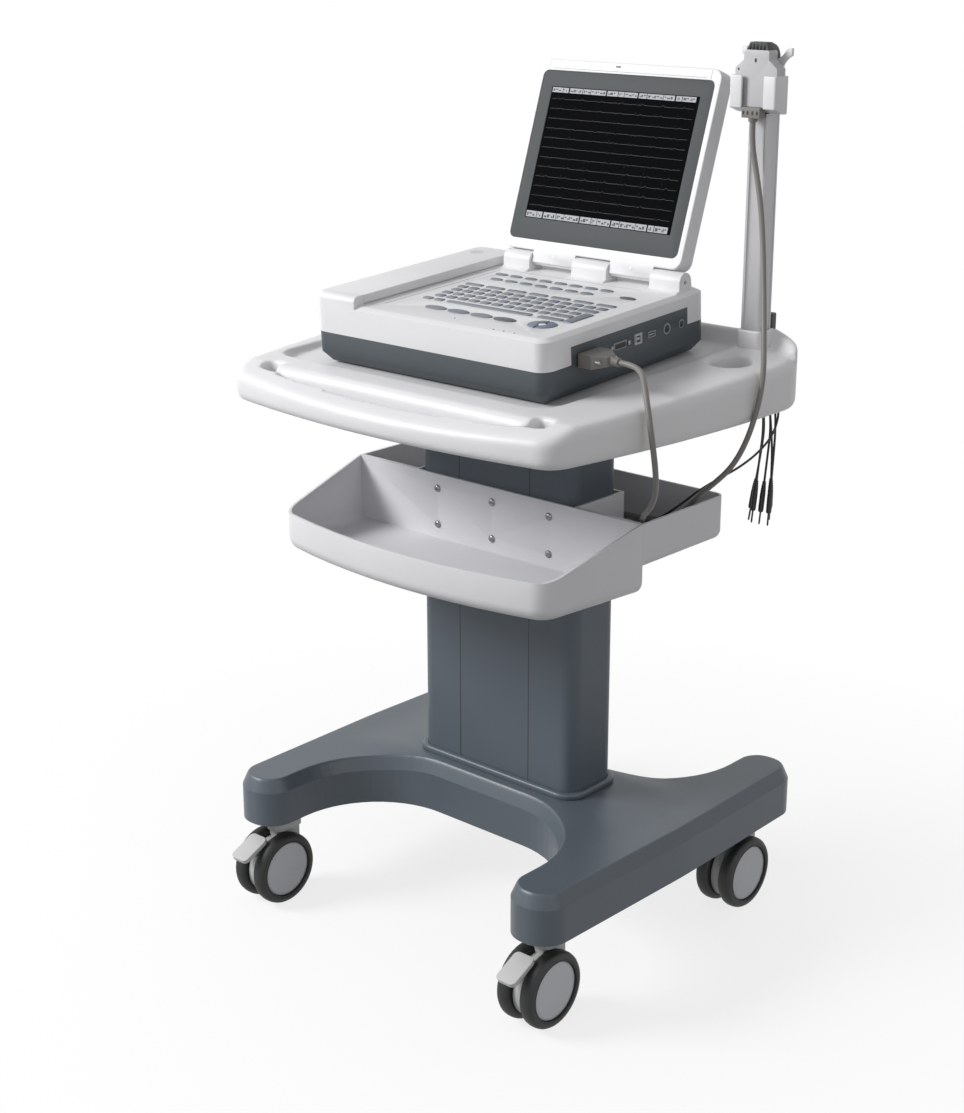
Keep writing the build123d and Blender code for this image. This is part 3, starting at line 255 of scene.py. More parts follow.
world = bpy.data.worlds.new("studio")
bpy.context.scene.world = world
world.use_nodes = True
sky = world.node_tree.nodes["Background"]
sky.inputs["Color"].default_value = (1.0, 1.0, 1.0, 1)
sky.inputs["Strength"].default_value = 0.36
sky_look = seen_white(world.node_tree, sky.outputs[0], 1.0)
world.node_tree.links.new(sky_look, world.node_tree.nodes["World Output"].inputs["Surface"])
print("floor and sky ready")

# %% [markdown]
# One large soft lamp stands in front and to the left, higher than the screen. A weak one on the
# right keeps the dark sides readable.

# %% Lamps
def lamp(name, place, target, size, power):
    """A square soft lamp that faces a target; both points are in metres."""
    data = bpy.data.lights.new(name, "AREA")
    data.size = size
    data.energy = power
    holder = bpy.data.objects.new(name, data)
    bpy.context.scene.collection.objects.link(holder)
    holder.location = place
    aim = Vector(target) - Vector(place)
    holder.rotation_euler = aim.to_track_quat("-Z", "Y").to_euler()
    return holder


lamp("key_lamp", (-2.1, -2.4, 2.5), (0, 0, 0.7), 1.4, 118)
lamp("side_lamp", (3.2, -0.6, 1.7), (0, 0, 0.6), 1.8, 9)
bpy.context.scene.view_settings.view_transform = "Standard"
print("lamps ready")

# %% [markdown]
# ## Cords
# Three kinds of cord hang on this machine. The grey data cable joins the recorder to the small
# acquisition box on the post; it droops over the tray's edge, lies in the rear bin and climbs
# again. The patient leads leave the box as one trunk, which splits at a yoke into thin wires with
# a plug on each end. Each is a smooth NURBS line through the air with a round section, because a
# flexible thing never has a corner, and each is given its real thickness.

# %% A cord from its route
def cord_curve(name, route, radius, material, replaces):
    """A round cord along a smooth line; the route is in millimetres."""
    curve = bpy.data.curves.new(name, "CURVE")
    curve.dimensions = "3D"
    curve.bevel_depth = radius / 1000
    curve.bevel_resolution = 5
    curve.resolution_u = 10
    curve.use_fill_caps = True
    spline = curve.splines.new("NURBS")
    spline.points.add(len(route) - 1)
    for point, place in zip(spline.points, route):
        point.co = (*metres(*place), 1.0)
    spline.order_u = 3
    spline.use_endpoint_u = True
    cord = bpy.data.objects.new(name, curve)
    bpy.context.scene.collection.objects.link(cord)
    curve.materials.append(material)
    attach(cord, "trolley")
    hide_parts(replaces)
    return cord

# %% [markdown]
# ## The data cable
# It leaves the recorder's side through a straight plug, so its first stretch is straight too.
# Then it falls clear of the tray, lies once round the rear bin, where most of its length is, and
# climbs to the box on the post in one slack bow.

# %% Data cable
cable_grey = surface("cable_grey", tone(128, 125, 122), 0.5, grain=1500)
lead_grey = surface("lead_grey", tone(58, 58, 58), 0.5, grain=1500)
LAY = 547.8                      # the axis of a cable that lies in the rear bin
plug_end = RECORDER @ Vector((228.0, -80.0, 43.5))
plug_lead = RECORDER @ Vector((245.0, -80.0, 43.5))
data_route = [
    tuple(plug_end), tuple(plug_lead),
    (265, -88, 797), (284, -106, 783), (301.5, -121, 757), (308.5, -121, 722), (307, -112, 688),
    (296, -96, 656), (274, -78, 631), (248, -55, 613), (226, -28, 597),
    (206, -2, 575), (182, 26, 556), (152, 54, LAY), (108, 60, LAY), (40, 57, LAY),
    (-36, 59, LAY), (-104, 60, LAY), (-146, 57, LAY), (-177, 35, LAY), (-203, 26, LAY),
    (-224, 38, LAY), (-229, 62, LAY), (-218, 84, LAY), (-192, 98, LAY), (-146, 103, LAY),
    (-76, 101, LAY), (0, 103, LAY), (74, 101, LAY), (134, 102, 549), (176, 94, 557),
    (209, 82, 579), (236, 72, 606), (262, 69, 628), (285, 72, 652), (302, 75, 684),
    (312, 81, 724), (314, 90, 765), (305, 101, 808), (289, 121, 852), (273, 139, 909),
    (261, 148, 960), (248, 153, 1003), (241, 152, 1034), (241, 152, 1060),
]
data_cable = cord_curve("data_cable_line", data_route, 3.5, cable_grey, "data_cable")
print("data cable has", len(data_route), "points")

# %% [markdown]
# ## Soft edges on measured shapes
# Many parts already have the right shape in the measured model, only with knife-sharp edges. A
# real edge catches a thin line of light. The helper copies such a part, joins its loose
# triangles, dissolves the flat faces into clean polygons and bevels every edge that turns by more
# than 25 degrees. The measured part itself is never touched.

# %% Softened copies
def softened(node, radius, body, material, name=None, segments=3, least=25):
    """A copy of a measured part with its sharp edges rounded; radius in millimetres."""
    bm = bmesh.new()
    bm.from_mesh(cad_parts[node].data)
    bmesh.ops.remove_doubles(bm, verts=bm.verts, dist=2e-6)
    bmesh.ops.dissolve_limit(bm, angle_limit=radians(0.5), verts=bm.verts, edges=bm.edges)
    sharp = [e for e in bm.edges if e.is_manifold and e.calc_face_angle(0) > radians(least)]
    bmesh.ops.bevel(bm, geom=sharp, offset=radius / 1000, offset_type="OFFSET", segments=segments,
                    profile=0.5, affect="EDGES", clamp_overlap=True, material=-1)
    bmesh.ops.transform(bm, matrix=TO_FRAME.inverted(), verts=bm.verts)
    return finish_piece(bm, name or f"{node}_moulding", body, material, replaces=[node])

# %% [markdown]
# ## Blocks, turned parts, caps and marks
# A few helpers cover the small parts. The first is a block whose edges are rounded. Its upright
# edges may have a larger radius, as on most mouldings, so they are bevelled first.

# %% Rounded blocks
def rounded_block(bm, x, y, z, edge, segments=3, upright=0.0):
    """Adds a block; its upright edges get their own radius first, then all edges get edge."""
    made = bmesh.ops.create_cube(bm, size=1.0)["verts"]
    size = Vector((x[1] - x[0], y[1] - y[0], z[1] - z[0]))
    middle = Vector((x[0] + x[1], y[0] + y[1], z[0] + z[1])) / 2
    bmesh.ops.scale(bm, vec=size, verts=made)
    bmesh.ops.translate(bm, vec=middle, verts=made)
    if upright:
        standing = {e for v in made for e in v.link_edges
                    if abs(e.verts[0].co.z - e.verts[1].co.z) > size.z * 0.9}
        made = bmesh.ops.bevel(bm, geom=list(standing), offset=upright, segments=6, profile=0.5,
                               affect="EDGES", material=-1)["verts"]
        made = list(linked(made))
    if edge:
        made = list(linked(made))
        edges = {e for v in made for e in v.link_edges if e.calc_face_angle(0) > radians(50)}
        bmesh.ops.bevel(bm, geom=list(edges), offset=edge, segments=segments, profile=0.5,
                        affect="EDGES", material=-1)
    return list(linked(made))


def linked(verts):
    """Every vertex joined to the given ones."""
    found, todo = set(), [v for v in verts if v.is_valid]
    while todo:
        vert = todo.pop()
        if vert in found:
            continue
        found.add(vert)
        todo += [e.other_vert(vert) for e in vert.link_edges]
    return found

# %% [markdown]
# Screws, plugs, pins and wheels are turned parts. A lathe needs only half of their profile, and
# so does the spin operator: it sweeps (radius, height) points round Z.

# %% Turned parts
def turned(bm, profile, place, steps=64, closed=False):
    """Turns (radius, height) points about Z and puts the result in place."""
    verts = [bm.verts.new((r, 0, h)) for r, h in profile]
    loop = zip(verts, verts[1:] + verts[:1]) if closed else zip(verts, verts[1:])
    edges = [bm.edges.new(pair) for pair in loop]
    bmesh.ops.spin(bm, geom=verts + edges, axis=(0, 0, 1), cent=(0, 0, 0), steps=steps,
                   angle=2 * pi, use_merge=True)
    made = list(linked(verts))
    bmesh.ops.remove_doubles(bm, verts=made, dist=1e-4)
    made = list(linked([v for v in made if v.is_valid][:1]))
    faces = list({f for v in made for f in v.link_faces})
    bmesh.ops.recalc_face_normals(bm, faces=faces)
    bmesh.ops.transform(bm, matrix=place, verts=made)
    return made

# %% [markdown]
# A key cap is an oval or a round-cornered rectangle, raised and then bevelled round its top. A
# groove's shadow line, or a mark that is printed on, is only a flat strip just above the surface.

# %% Caps and strips
def capsule(bm, x, y, width, depth, z, edge=1.0, square=None):
    """An oval or round-cornered cap with a rounded top edge."""
    if square is None:
        made = bmesh.ops.create_circle(bm, cap_ends=True, radius=0.5, segments=32)["verts"]
        bmesh.ops.scale(bm, vec=(width, depth, 1), verts=made)
    else:
        made = bmesh.ops.create_grid(bm, x_segments=1, y_segments=1, size=0.5)["verts"]
        bmesh.ops.scale(bm, vec=(width, depth, 1), verts=made)
        made = bmesh.ops.bevel(bm, geom=made, offset=square, segments=4, profile=0.5,
                               affect="VERTICES", material=-1)["verts"]
        made = list(linked(made))
    bmesh.ops.translate(bm, vec=(x, y, z[0]), verts=made)
    base = next(iter(made[0].link_faces))
    raised = bmesh.ops.extrude_face_region(bm, geom=[base])["geom"]
    top = [v for v in raised if isinstance(v, bmesh.types.BMVert)]
    bmesh.ops.translate(bm, vec=(0, 0, z[1] - z[0]), verts=top)
    everything = linked(top)
    bmesh.ops.recalc_face_normals(bm, faces=list({f for v in everything for f in v.link_faces}))
    rim = [e for v in top for e in v.link_edges if e.calc_face_angle(0) > radians(50)]
    bmesh.ops.bevel(bm, geom=list(set(rim)), offset=edge, segments=3, profile=0.5, affect="EDGES",
                    material=-1)


def strip(bm, a, b, width, out=(0, 0, 1)):
    """A flat strip from a to b, as a groove's shadow line or a printed mark."""
    a, b = Vector(a), Vector(b)
    side = (b - a).normalized().cross(Vector(out)) * width / 2
    bm.faces.new([bm.verts.new(p) for p in (a + side, b + side, b - side, a - side)])

# %% [markdown]
# ## Patient leads
# The trunk comes out of the connector on the acquisition box, goes over the hook plate and hangs
# down behind the post. Below the yoke the wires fan out a little, because each has its own set
# from years of coiling, and one of them is tossed over the wall of the rear bin.

# %% Trunk and wires
trunk_route = [
    (241, 171, 1148), (241, 190, 1148), (237, 206, 1136), (231, 214, 1110), (225, 215, 1068),
    (222, 214, 1015), (223, 216, 958), (221, 217, 905), (226, 225, 862), (226, 225, 815),
]
lead_trunk = cord_curve("lead_trunk_line", trunk_route, 4.0, lead_grey, "lead_trunk")

lead_black = surface("lead_black", tone(30, 31, 31), 0.5, grain=1500)


def lead_plug(number, route):
    """A tapered plug with ribs and a pin, in line with the wire's last run."""
    end, before = Vector(route[-1]), Vector(route[-2])
    place = Matrix.Translation(end) @ (end - before).to_track_quat("Z", "Y").to_matrix().to_4x4()
    profile = [(0, 0), (2.0, 0), (2.4, 0.8), (2.5, 3)]
    for rib in range(4):
        h = 4 + rib * 2.6
        profile += [(2.5 + rib * 0.2, h), (2.9 + rib * 0.2, h + 0.5), (2.9 + rib * 0.2, h + 1.3),
                    (2.6 + rib * 0.2, h + 1.8)]
    profile += [(3.4, 15.5), (3.6, 18), (3.6, 37), (3.5, 40), (3.0, 41.6), (2.4, 42), (0, 42)]
    body = bmesh.new()
    turned(body, profile, place, steps=28)
    turned(body, [(0, 41.5), (1.2, 41.5), (1.2, 57.2), (1.0, 58.6), (0.5, 59.3), (0, 59.4)], place,
           steps=20)
    return finish_piece(body, f"lead_plug_{number}", "trolley", lead_black,
                        replaces=["lead_plugs"])


lead_routes = [
    [(218, 225, 785), (218, 225, 752), (223, 223, 712), (230, 225, 668), (228, 222, 632),
     (222, 222, 594)],
    [(222, 225, 785), (222, 225, 746), (228, 220, 702), (232, 219, 662), (230, 216, 626),
     (227, 216, 594)],
    [(226, 225, 785), (226, 225, 750), (232, 228, 706), (236, 230, 664), (235, 227, 628),
     (233, 225, 592)],
    [(230, 225, 785), (230, 225, 744), (236, 223, 704), (241, 224, 660), (240, 230, 628),
     (238, 233, 595)],
    [(234, 225, 785), (234, 225, 748), (240, 230, 706), (244, 229, 664), (246, 224, 628),
     (245, 223, 593)],
    [(226, 228.8, 785), (226, 228.8, 756), (232, 237, 723), (246, 234, 690), (256, 208, 664),
     (255, 176, 645), (247, 145, 630), (234, 124, 619), (214, 104, 602), (193, 91, 580),
     (168, 84, 560), (143, 80.5, 549.6), (118, 79, 549.3)],
]
lead_lengths = [0.192, 0.192, 0.194, 0.191, 0.193, 0.385]
for number, (route, length) in enumerate(zip(lead_routes, lead_lengths), 1):
    plug = lead_plug(number, route)
    wire = cord_curve(f"lead_wire_{number}_line", route, 1.5, lead_black,
                      f"lead_wire_{number}")
print("cords:", 2 + len(lead_routes))

# %% [markdown]
# ## A moulding from its outline
# The foot is a wide flat moulding whose top swells and falls. It starts as a dense outline, raised
# into a slab. Rings inset from the rim carry the chamfer, so its line stays clean. Planes then
# slice the slab into a grid, which gives the top enough vertices to follow a height rule. Slicing
# keeps the outline exact, which a grid laid over it wouldn't.

# %% Outlines and height rules
OFF_CORNER = 0.37                # keeps the slices away from the outline's own corners


def smoothstep(low, high, value):
    """Eases from 0 at low to 1 at high."""
    t = min(1.0, max(0.0, (value - low) / (high - low)))
    return t * t * (3 - 2 * t)


def rounded_corners(corners, radii, steps=10):
    """Replaces each corner of an outline by an arc of its radius."""
    points = []
    for i, (corner, radius) in enumerate(zip(corners, radii)):
        corner = Vector(corner)
        if not radius:
            points.append(corner)
            continue
        before = (Vector(corners[i - 1]) - corner).normalized()
        after = (Vector(corners[(i + 1) % len(corners)]) - corner).normalized()
        half = before.angle(after) / 2
        reach = radius * cos(half) / sin(half)
        centre = corner + (before + after).normalized() * radius / sin(half)
        first, last = corner + before * reach - centre, corner + after * reach - centre
        turn = first.angle_signed(last)
        points += [centre + Matrix.Rotation(-turn * k / steps, 2) @ first for k in range(steps + 1)]
    return points


def distance_to(outline, x, y):
    """Distance from a point to a closed outline."""
    best, point = 1e9, Vector((x, y))
    for a, b in zip(outline, outline[1:] + outline[:1]):
        along = b - a
        t = min(1.0, max(0.0, (point - a).dot(along) / along.length_squared))
        best = min(best, (a + along * t - point).length)
    return best


def slab(bm, outline, z, step=None, rings=()):
    """Raises an outline from z[0] to z[1] and returns its top. Rings at these distances from the
    rim, and then a grid of slices a step apart, give a height rule its vertices."""
    rim = [bm.verts.new((p.x, p.y, z[0])) for p in outline]
    face = bm.faces.new(rim)
    raised = bmesh.ops.extrude_face_region(bm, geom=[face])["geom"]
    top = [v for v in raised if isinstance(v, bmesh.types.BMVert)]
    bmesh.ops.translate(bm, vec=(0, 0, z[1] - z[0]), verts=top)
    bmesh.ops.recalc_face_normals(bm, faces=bm.faces)
    inner = [f for f in bm.faces if f.normal.z > 0.9]
    for before, ring in zip((0, *rings), rings):
        bmesh.ops.inset_region(bm, faces=inner, thickness=ring - before, use_even_offset=True)
    if step:
        reach = [max(abs(p[axis]) for p in outline) for axis in (0, 1)]
        for axis in (0, 1):
            normal = (1, 0, 0) if axis == 0 else (0, 1, 0)
            for k in range(int(-reach[axis] / step), int(reach[axis] / step) + 1):
                at = k * step + OFF_CORNER
                place = (at, 0, 0) if axis == 0 else (0, at, 0)
                bmesh.ops.bisect_plane(bm, geom=bm.verts[:] + bm.edges[:] + bm.faces[:],
                                       plane_co=place, plane_no=normal)
    return [v for v in bm.verts if v.co.z > z[1] - 1e-3]

# %% [markdown]
# ## The tray
# The tray is the trolley's largest white moulding: a handle rail, a hand opening, a shallow well
# that the recorder sits in, a round recess and a raised rim. Its measured shape is right but has
# knife edges where one form meets another. A voxel remesh rebuilds it as an even skin of 3 mm
# squares, and smoothing that skin gives every edge, inside and outside, a moulded radius. The
# skin also lets the top swell softly towards the foot of the post.

# %% Remeshed mouldings
def modified(bm, name, cutters=(), voxel=None, smoothing=0):
    """Cuts, remeshes and smooths a millimetre bmesh, and gives it back as a new one."""
    scene = bpy.context.scene.collection
    holders = []
    for index, source in enumerate([bm, *cutters]):
        mesh = bpy.data.meshes.new(f"{name}_work_{index}")
        source.to_mesh(mesh)
        source.free()
        holders.append(bpy.data.objects.new(mesh.name, mesh))
        scene.objects.link(holders[-1])
    body = holders[0]
    for cutter in holders[1:]:
        cut = body.modifiers.new("cut", "BOOLEAN")
        cut.operation = "DIFFERENCE"
        cut.solver = "EXACT"
        cut.object = cutter
    if voxel:
        remesh = body.modifiers.new("remesh", "REMESH")
        remesh.mode = "VOXEL"
        remesh.voxel_size = voxel
    if smoothing:
        smooth = body.modifiers.new("smooth", "SMOOTH")
        smooth.factor = 0.5
        smooth.iterations = smoothing
    depsgraph = bpy.context.evaluated_depsgraph_get()
    shape = bpy.data.meshes.new_from_object(body.evaluated_get(depsgraph))
    result = bmesh.new()
    result.from_mesh(shape)
    for holder in holders:
        bpy.data.objects.remove(holder)
    bpy.data.meshes.remove(shape)
    return result

# %% [markdown]
# The tray itself needs two steps: the remesh, and then the swell round the post's foot, where the
# real moulding rises into its socket.

# %% Tray moulding
POST = Vector((241, 177))
SOCKET_HALF = 17                 # half the width of the socket at the post's foot


def swell(x, y, z):
    """How far the tray's top rises towards the post."""
    gap = Vector([max(0, abs(d) - SOCKET_HALF) for d in (x - POST.x, y - POST.y)]).length
    return 9 * max(0, 1 - gap / 30) ** 2 * smoothstep(758, 772, z)


bm = bmesh.new()
bm.from_mesh(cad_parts["tray"].data)
bmesh.ops.transform(bm, matrix=TO_FRAME.inverted(), verts=bm.verts)
bmesh.ops.remove_doubles(bm, verts=bm.verts, dist=2e-3)
bm = modified(bm, "tray", voxel=3.0, smoothing=6)
for vert in bm.verts:
    vert.co.z += swell(*vert.co)
finish_piece(bm, "tray_moulding", "trolley", tray_white, replaces=["tray"],
             smooth=180)

# %% [markdown]
# ## The foot
# The foot is an H seen from above: two long side beams that end over the castors, joined by a
# bridge that swells towards the column. Its rim is a broad chamfer rather than a round, so the
# height rule drops in a straight line near the rim and only the corner above it is eased. The
# underside is inset and pushed up, which leaves a wall like a moulding's.

# %% Foot moulding
foot_corners = [(-281, -268), (-204, -268), (-205, -74), (205, -74), (204, -268), (281, -268),
                (287, 0), (281, 268), (204, 268), (205, 74), (-205, 74), (-204, 268), (-281, 268),
                (-287, 0)]
foot_radii = [36, 36, 128, 128, 36, 36, 900, 36, 36, 128, 128, 36, 36, 900]
foot_outline = rounded_corners(foot_corners, foot_radii, steps=14)


FOOT_LOW, FOOT_TOP, FOOT_SWELL = 123, 189, 7.5
CHAMFER_WIDTH, CHAMFER_DROP = 8, 18


def foot_top(x, y):
    """Height of the foot before its chamfer: a low swell under the column."""
    across = smoothstep(250, 120, abs(x)) if abs(x) > 120 else 1.0
    return FOOT_TOP + FOOT_SWELL * across * smoothstep(110, 52, abs(y))


def chamfered(distance):
    """A straight chamfer whose upper corner is eased over half of its width."""
    t = distance / CHAMFER_WIDTH
    if t >= 1.25:
        return 0.0
    if t > 0.75:
        return CHAMFER_DROP * (1.25 - t) ** 2
    return CHAMFER_DROP * (1 - t)


bm = bmesh.new()
top_verts = slab(bm, foot_outline, (FOOT_LOW, 200), step=7, rings=(3, 6, 7, 8, 8.7, 9.4, 10))
for vert in top_verts:
    x, y = vert.co.x, vert.co.y
    vert.co.z = foot_top(x, y) - chamfered(distance_to(foot_outline, x, y))
under = [f for f in bm.faces if f.normal.z < -0.9 and f.calc_center_median().z < FOOT_LOW + 1]
bmesh.ops.inset_region(bm, faces=under, thickness=4, use_even_offset=True)
bmesh.ops.inset_region(bm, faces=under, thickness=0.5)
deep = {v for f in under for v in f.verts}
bmesh.ops.translate(bm, vec=(0, 0, 40), verts=list(deep))
finish_piece(bm, "foot_moulding", "trolley", base_slate, replaces=["base_cover"],
             smooth=21)

# %% [markdown]
# ## Castors
# A medical twin-wheel castor is two narrow wheels with a hood between them. The tyres and discs
# are turned parts, so they are spun from profiles. The discs are very slightly domed, which keeps
# them from looking like stickers. Hoods and brake pedals are moulded, with soft edges all round.

# %% Castor wheels
castor_grey = surface("castor_grey", tone(200, 200, 200), 0.38, grain=1200)
disc_grey = surface("disc_grey", tone(205, 207, 212), 0.36, grain=1200)
tyre_black = surface("tyre_black", tone(30, 32, 32), 0.55, grain=1000, depth=0.08)
TYRE = [(38.6, -9), (40.2, -10.2), (43.4, -10.2), (47.2, -8.8), (49.2, -6), (50, -2.6), (50, 2.6),
        (49.2, 6), (47.2, 8.8), (43.6, 10.2), (41.4, 10.2), (40.9, 9.6), (39.9, 9.6), (39.4, 10.2),
        (38.9, 10.2), (38.6, 9)]
DISC = [(0, 9.4), (12, 9.3), (24, 9.0), (33, 8.5), (36.4, 8.1), (37.6, 7.4), (38.4, 6.0),
        (38.4, -6.4), (37.6, -7.8), (30, -8.2), (9, -8.2), (8, -7.4), (0, -7.4)]
KINGPIN_X, KINGPIN_Y, TRAIL, AXLE_Z, WHEEL_APART = 240, 206, 27, 50, 18.25
for corner in ("front_left", "front_right", "rear_left", "rear_right"):
    x = -KINGPIN_X if "left" in corner else KINGPIN_X
    y = (-KINGPIN_Y if "front" in corner else KINGPIN_Y) - TRAIL
    rubber, discs = bmesh.new(), bmesh.new()
    for side in (-1, 1):
        place = Matrix.Translation((x + side * WHEEL_APART, y, AXLE_Z)) @ \
            Matrix.Rotation(side * pi / 2, 4, "Y")
        turned(rubber, TYRE, place, steps=72, closed=True)
        turned(discs, DISC, place, steps=72)
    finish_piece(rubber, f"tyres_{corner}", f"wheels_{corner}", tyre_black,
                 replaces=[f"castor_tyres_{corner}"])
    finish_piece(discs, f"discs_{corner}", f"wheels_{corner}", disc_grey,
                 replaces=[f"castor_hubs_{corner}"])
    softened(f"castor_housing_{corner}", 2.2, f"castor_{corner}", castor_grey)
    if "front" in corner:
        softened(f"brake_pedal_{corner}", 2.0, f"pedal_{corner}", castor_grey)

# %% [markdown]
# ## Column, bins and screws
# The column is folded sheet metal with a painted finish, so its measured panels stay as they are
# and only get the right paint. The bins are mouldings with thin walls: their rims are rounded to
# almost half the wall. The screws are pan heads with a cross recess.

# %% Column and bins
frame_black = surface("frame_black", tone(52, 54, 56), 0.45, grain=500)
plate_grey = surface("plate_grey", tone(150, 152, 153), 0.5, grain=500)
screw_steel = surface("screw_steel", tone(150, 152, 154), 0.32, grain=2500, metal=0.9)
SEAM_X, COLUMN_FACE = 60.4, 46.05  # the seams' shadow lies just proud of the panels
for node, material in (("column_panels", column_slate), ("column_core", frame_black),
                       ("base_frame", frame_black), ("castor_stems", screw_steel),
                       ("tray_plate", plate_grey), ("hinge_pins", screw_steel)):
    repaint(node, material)
softened("column_collar", 0.8, "trolley", base_slate)
softened("front_bin", 1.5, "trolley", bin_white)
softened("rear_bin", 1.5, "trolley", bin_white)

bm = bmesh.new()
for x in (-SEAM_X, SEAM_X):
    for out in (-1, 1):
        strip(bm, (x, out * COLUMN_FACE, 200), (x, out * COLUMN_FACE, 706), 1.8, out=(0, out, 0))
finish_piece(bm, "column_seams", "trolley", frame_black)

SCREW_FACE = 50.05               # the inner face of each bin's back wall
bm = bmesh.new()
screws = [(x, -SCREW_FACE, z, 1) for x in (-95.7, 0, 95.7) for z in (529.1, 578.6)]
screws += [(x, SCREW_FACE, 572, -1) for x in (-60, 60)]
for x, y, z, facing in screws:
    place = Matrix.Translation((x, y, z)) @ Matrix.Rotation(facing * pi / 2, 4, "X")
    turned(bm, [(0, 1.9), (1.2, 1.9), (1.5, 2.5), (3.2, 2.3), (4.6, 1.5), (5, 0.6), (5, 0), (0, 0)],
           place, steps=32)
    turned(bm, [(0, 0.02), (2.45, 0.02), (2.45, -11), (1.6, -12), (0, -12)], place, steps=24)
    for turn in (0, pi / 2):
        slot = rounded_block(bm, (-2.2, 2.2), (-0.45, 0.45), (1.95, 2.45), 0.1)
        bmesh.ops.transform(bm, matrix=place @ Matrix.Rotation(turn, 4, "Z"), verts=slot)
finish_piece(bm, "bin_screw_heads", "trolley", screw_steel, replaces=["bin_screws"])

# %% [markdown]
# ## Post, holder and acquisition box
# The post is a drawn aluminium section and keeps its measured shape. At its top a white bracket
# grips a small grey box: the patient leads plug into the top of the box and the data cable into
# its underside. A plate with two horns behind it keeps the leads tidy.

# %% Post and holder
post_metal = surface("post_metal", tone(190, 190, 192), 0.4, grain=60, depth=0.02, metal=0.25)
bracket_white = surface("bracket_white", tone(232, 232, 234), 0.42, grain=1300)
box_grey = surface("box_grey", tone(198, 197, 200), 0.46, grain=1300)
# The black of the lead connector, and also the painted shade of the socket hollows and of the
# holder's holes.
socket_black = surface("socket_black", tone(30, 32, 32), 0.5, grain=1500)
plug_grey = surface("plug_grey", tone(126, 123, 120), 0.5, grain=1500)
POST_HALF, POST_EDGE = 14, 3
groove_half = [(POST_HALF, 9.6), (12.6, 9.0), (11.8, 7.4), (11.6, 4), (11.6, 0)]
side = groove_half + [(x, -y) for x, y in groove_half[-2::-1]]
middle = POST_HALF - POST_EDGE
corner = [(middle + POST_EDGE * cos(a), -middle - POST_EDGE * sin(a))
          for a in (0, pi / 8, pi / 4, 3 * pi / 8, pi / 2)]
section = [Matrix.Rotation(-pi / 2 * turn, 2) @ Vector(p)
           for turn in range(4) for p in side + corner]
bm = bmesh.new()
slab(bm, [p + POST for p in section], (762, 1069))
finish_piece(bm, "post_extrusion", "trolley", post_metal, replaces=["post"], smooth=35)
softened("post_socket", 1.6, "trolley", tray_white)
softened("holder_bracket", 1.2, "trolley", bracket_white)
softened("hook_plate", 0.8, "trolley", bracket_white)
softened("acquisition_case", 0.9, "trolley", box_grey)
softened("lead_connector", 0.5, "trolley", socket_black)
softened("lead_yoke", 1.2, "trolley", lead_grey)
softened("data_plugs", 0.8, "trolley", plug_grey)

# %% [markdown]
# Small dark marks are painted shade in the holes where the holder is screwed together and where
# the data plug's jackscrews are. Each is a shallow dome with its rim sunk into the surface.

# %% Holder details
BOX_X, BOX_TOP = 241, 1143.5
# Painted shade: dark domes stand for the shade inside the holes.
bm = bmesh.new()
for x, y, z, wide, tall in ((BOX_X - 1, 154.5, BOX_TOP - 12, 1.7, 2.6),
                            (BOX_X - 25, 154.5, BOX_TOP - 23, 1.3, 1.6),
                            *((BOX_X + dx, 146, 1070.5, 1.5, 2.6) for dx in (-10, -4, 3, 9.5))):
    place = Matrix.Translation((x, y, z)) @ Matrix.Rotation(pi / 2, 4, "X") @ \
        Matrix.Diagonal((wide, tall, 1, 1))
    turned(bm, [(0, 0.02), (0.6, 0.1), (1, 0.05), (1, -1), (0, -1)], place, steps=20)
finish_piece(bm, "holder_hole_shade", "trolley", socket_black)

# %% [markdown]
# ## Recorder
# The recorder is a two-part case: a slate lower half with a bevelled foot and a white upper half
# with the keys. Its right side is cut away in the white half to show a slate strip of sockets.

# %% Recorder case
softened("recorder_base", 1.4, "trolley", recorder_slate)
softened("recorder_deck", 1.2, "trolley", case_white)
softened("printer_door", 0.8, "paper_door", case_white)
socket_grey = surface("socket_grey", tone(150, 150, 152), 0.4, grain=1500)
softened("port_sockets", 0.3, "trolley", socket_grey)
board_green = surface("board_green", tone(40, 92, 58), 0.5)
battery_grey = surface("battery_grey", tone(90, 92, 96), 0.5)
paper_pink = surface("paper_white", tone(236, 232, 226), 0.8)
rubber_black = surface("rubber_black", tone(38, 38, 38), 0.7)
for node, material in (("main_board", board_green), ("battery", battery_grey),
                       ("paper_roll", paper_pink), ("platen_roller", rubber_black),
                       ("recorder_feet", rubber_black)):
    repaint(node, material)

# %% [markdown]
# ## Sockets
# The sockets in the strip are measured shapes. What a socket shows at this distance is a dark
# hollow, a few bright studs and a light frame, so these are added in front of them. The dark
# hollows
# are painted shade: a dark block and two dark discs stand proud of the wall, in one piece with the
# indicator lights' own dark dots on the deck.

# %% Sockets
WALL, PORT_Z, DECK, DOOR_TOP = 180, 43.5, 79, 91
DATA_Y, VIDEO_Y, NETWORK_Y, USB_Y = -80, -18, 18, 45
LIGHTS = ((92, -146), (108, -146), (125, -146), (16, -131))
bm = bmesh.new()
# Painted shade: a dark block for the video socket's hollow, then dark discs for two round sockets'
# hollows.
rounded_block(bm, (WALL - 2, WALL + 1.1), (VIDEO_Y - 10.6, VIDEO_Y + 10.6),
              (PORT_Z - 3.4, PORT_Z + 3.4), 0.4)
for y, r in ((76, 4.9), (106, 4.4)):
    turned(bm, [(0, 0.8), (r - 0.4, 0.8), (r, 0.5), (r, -2), (0, -2)],
           facing_right(WALL, y, PORT_Z), steps=28)
# The indicator lights are dark dots of their own colour.
for x, y in LIGHTS:
    turned(bm, [(0, 0.35), (0.9, 0.3), (1.3, 0), (0, -0.4)], Matrix.Translation((x, y, DECK)),
           steps=16)
finish_piece(bm, "socket_shade_and_led_dots", "trolley", socket_black, place=RECORDER)

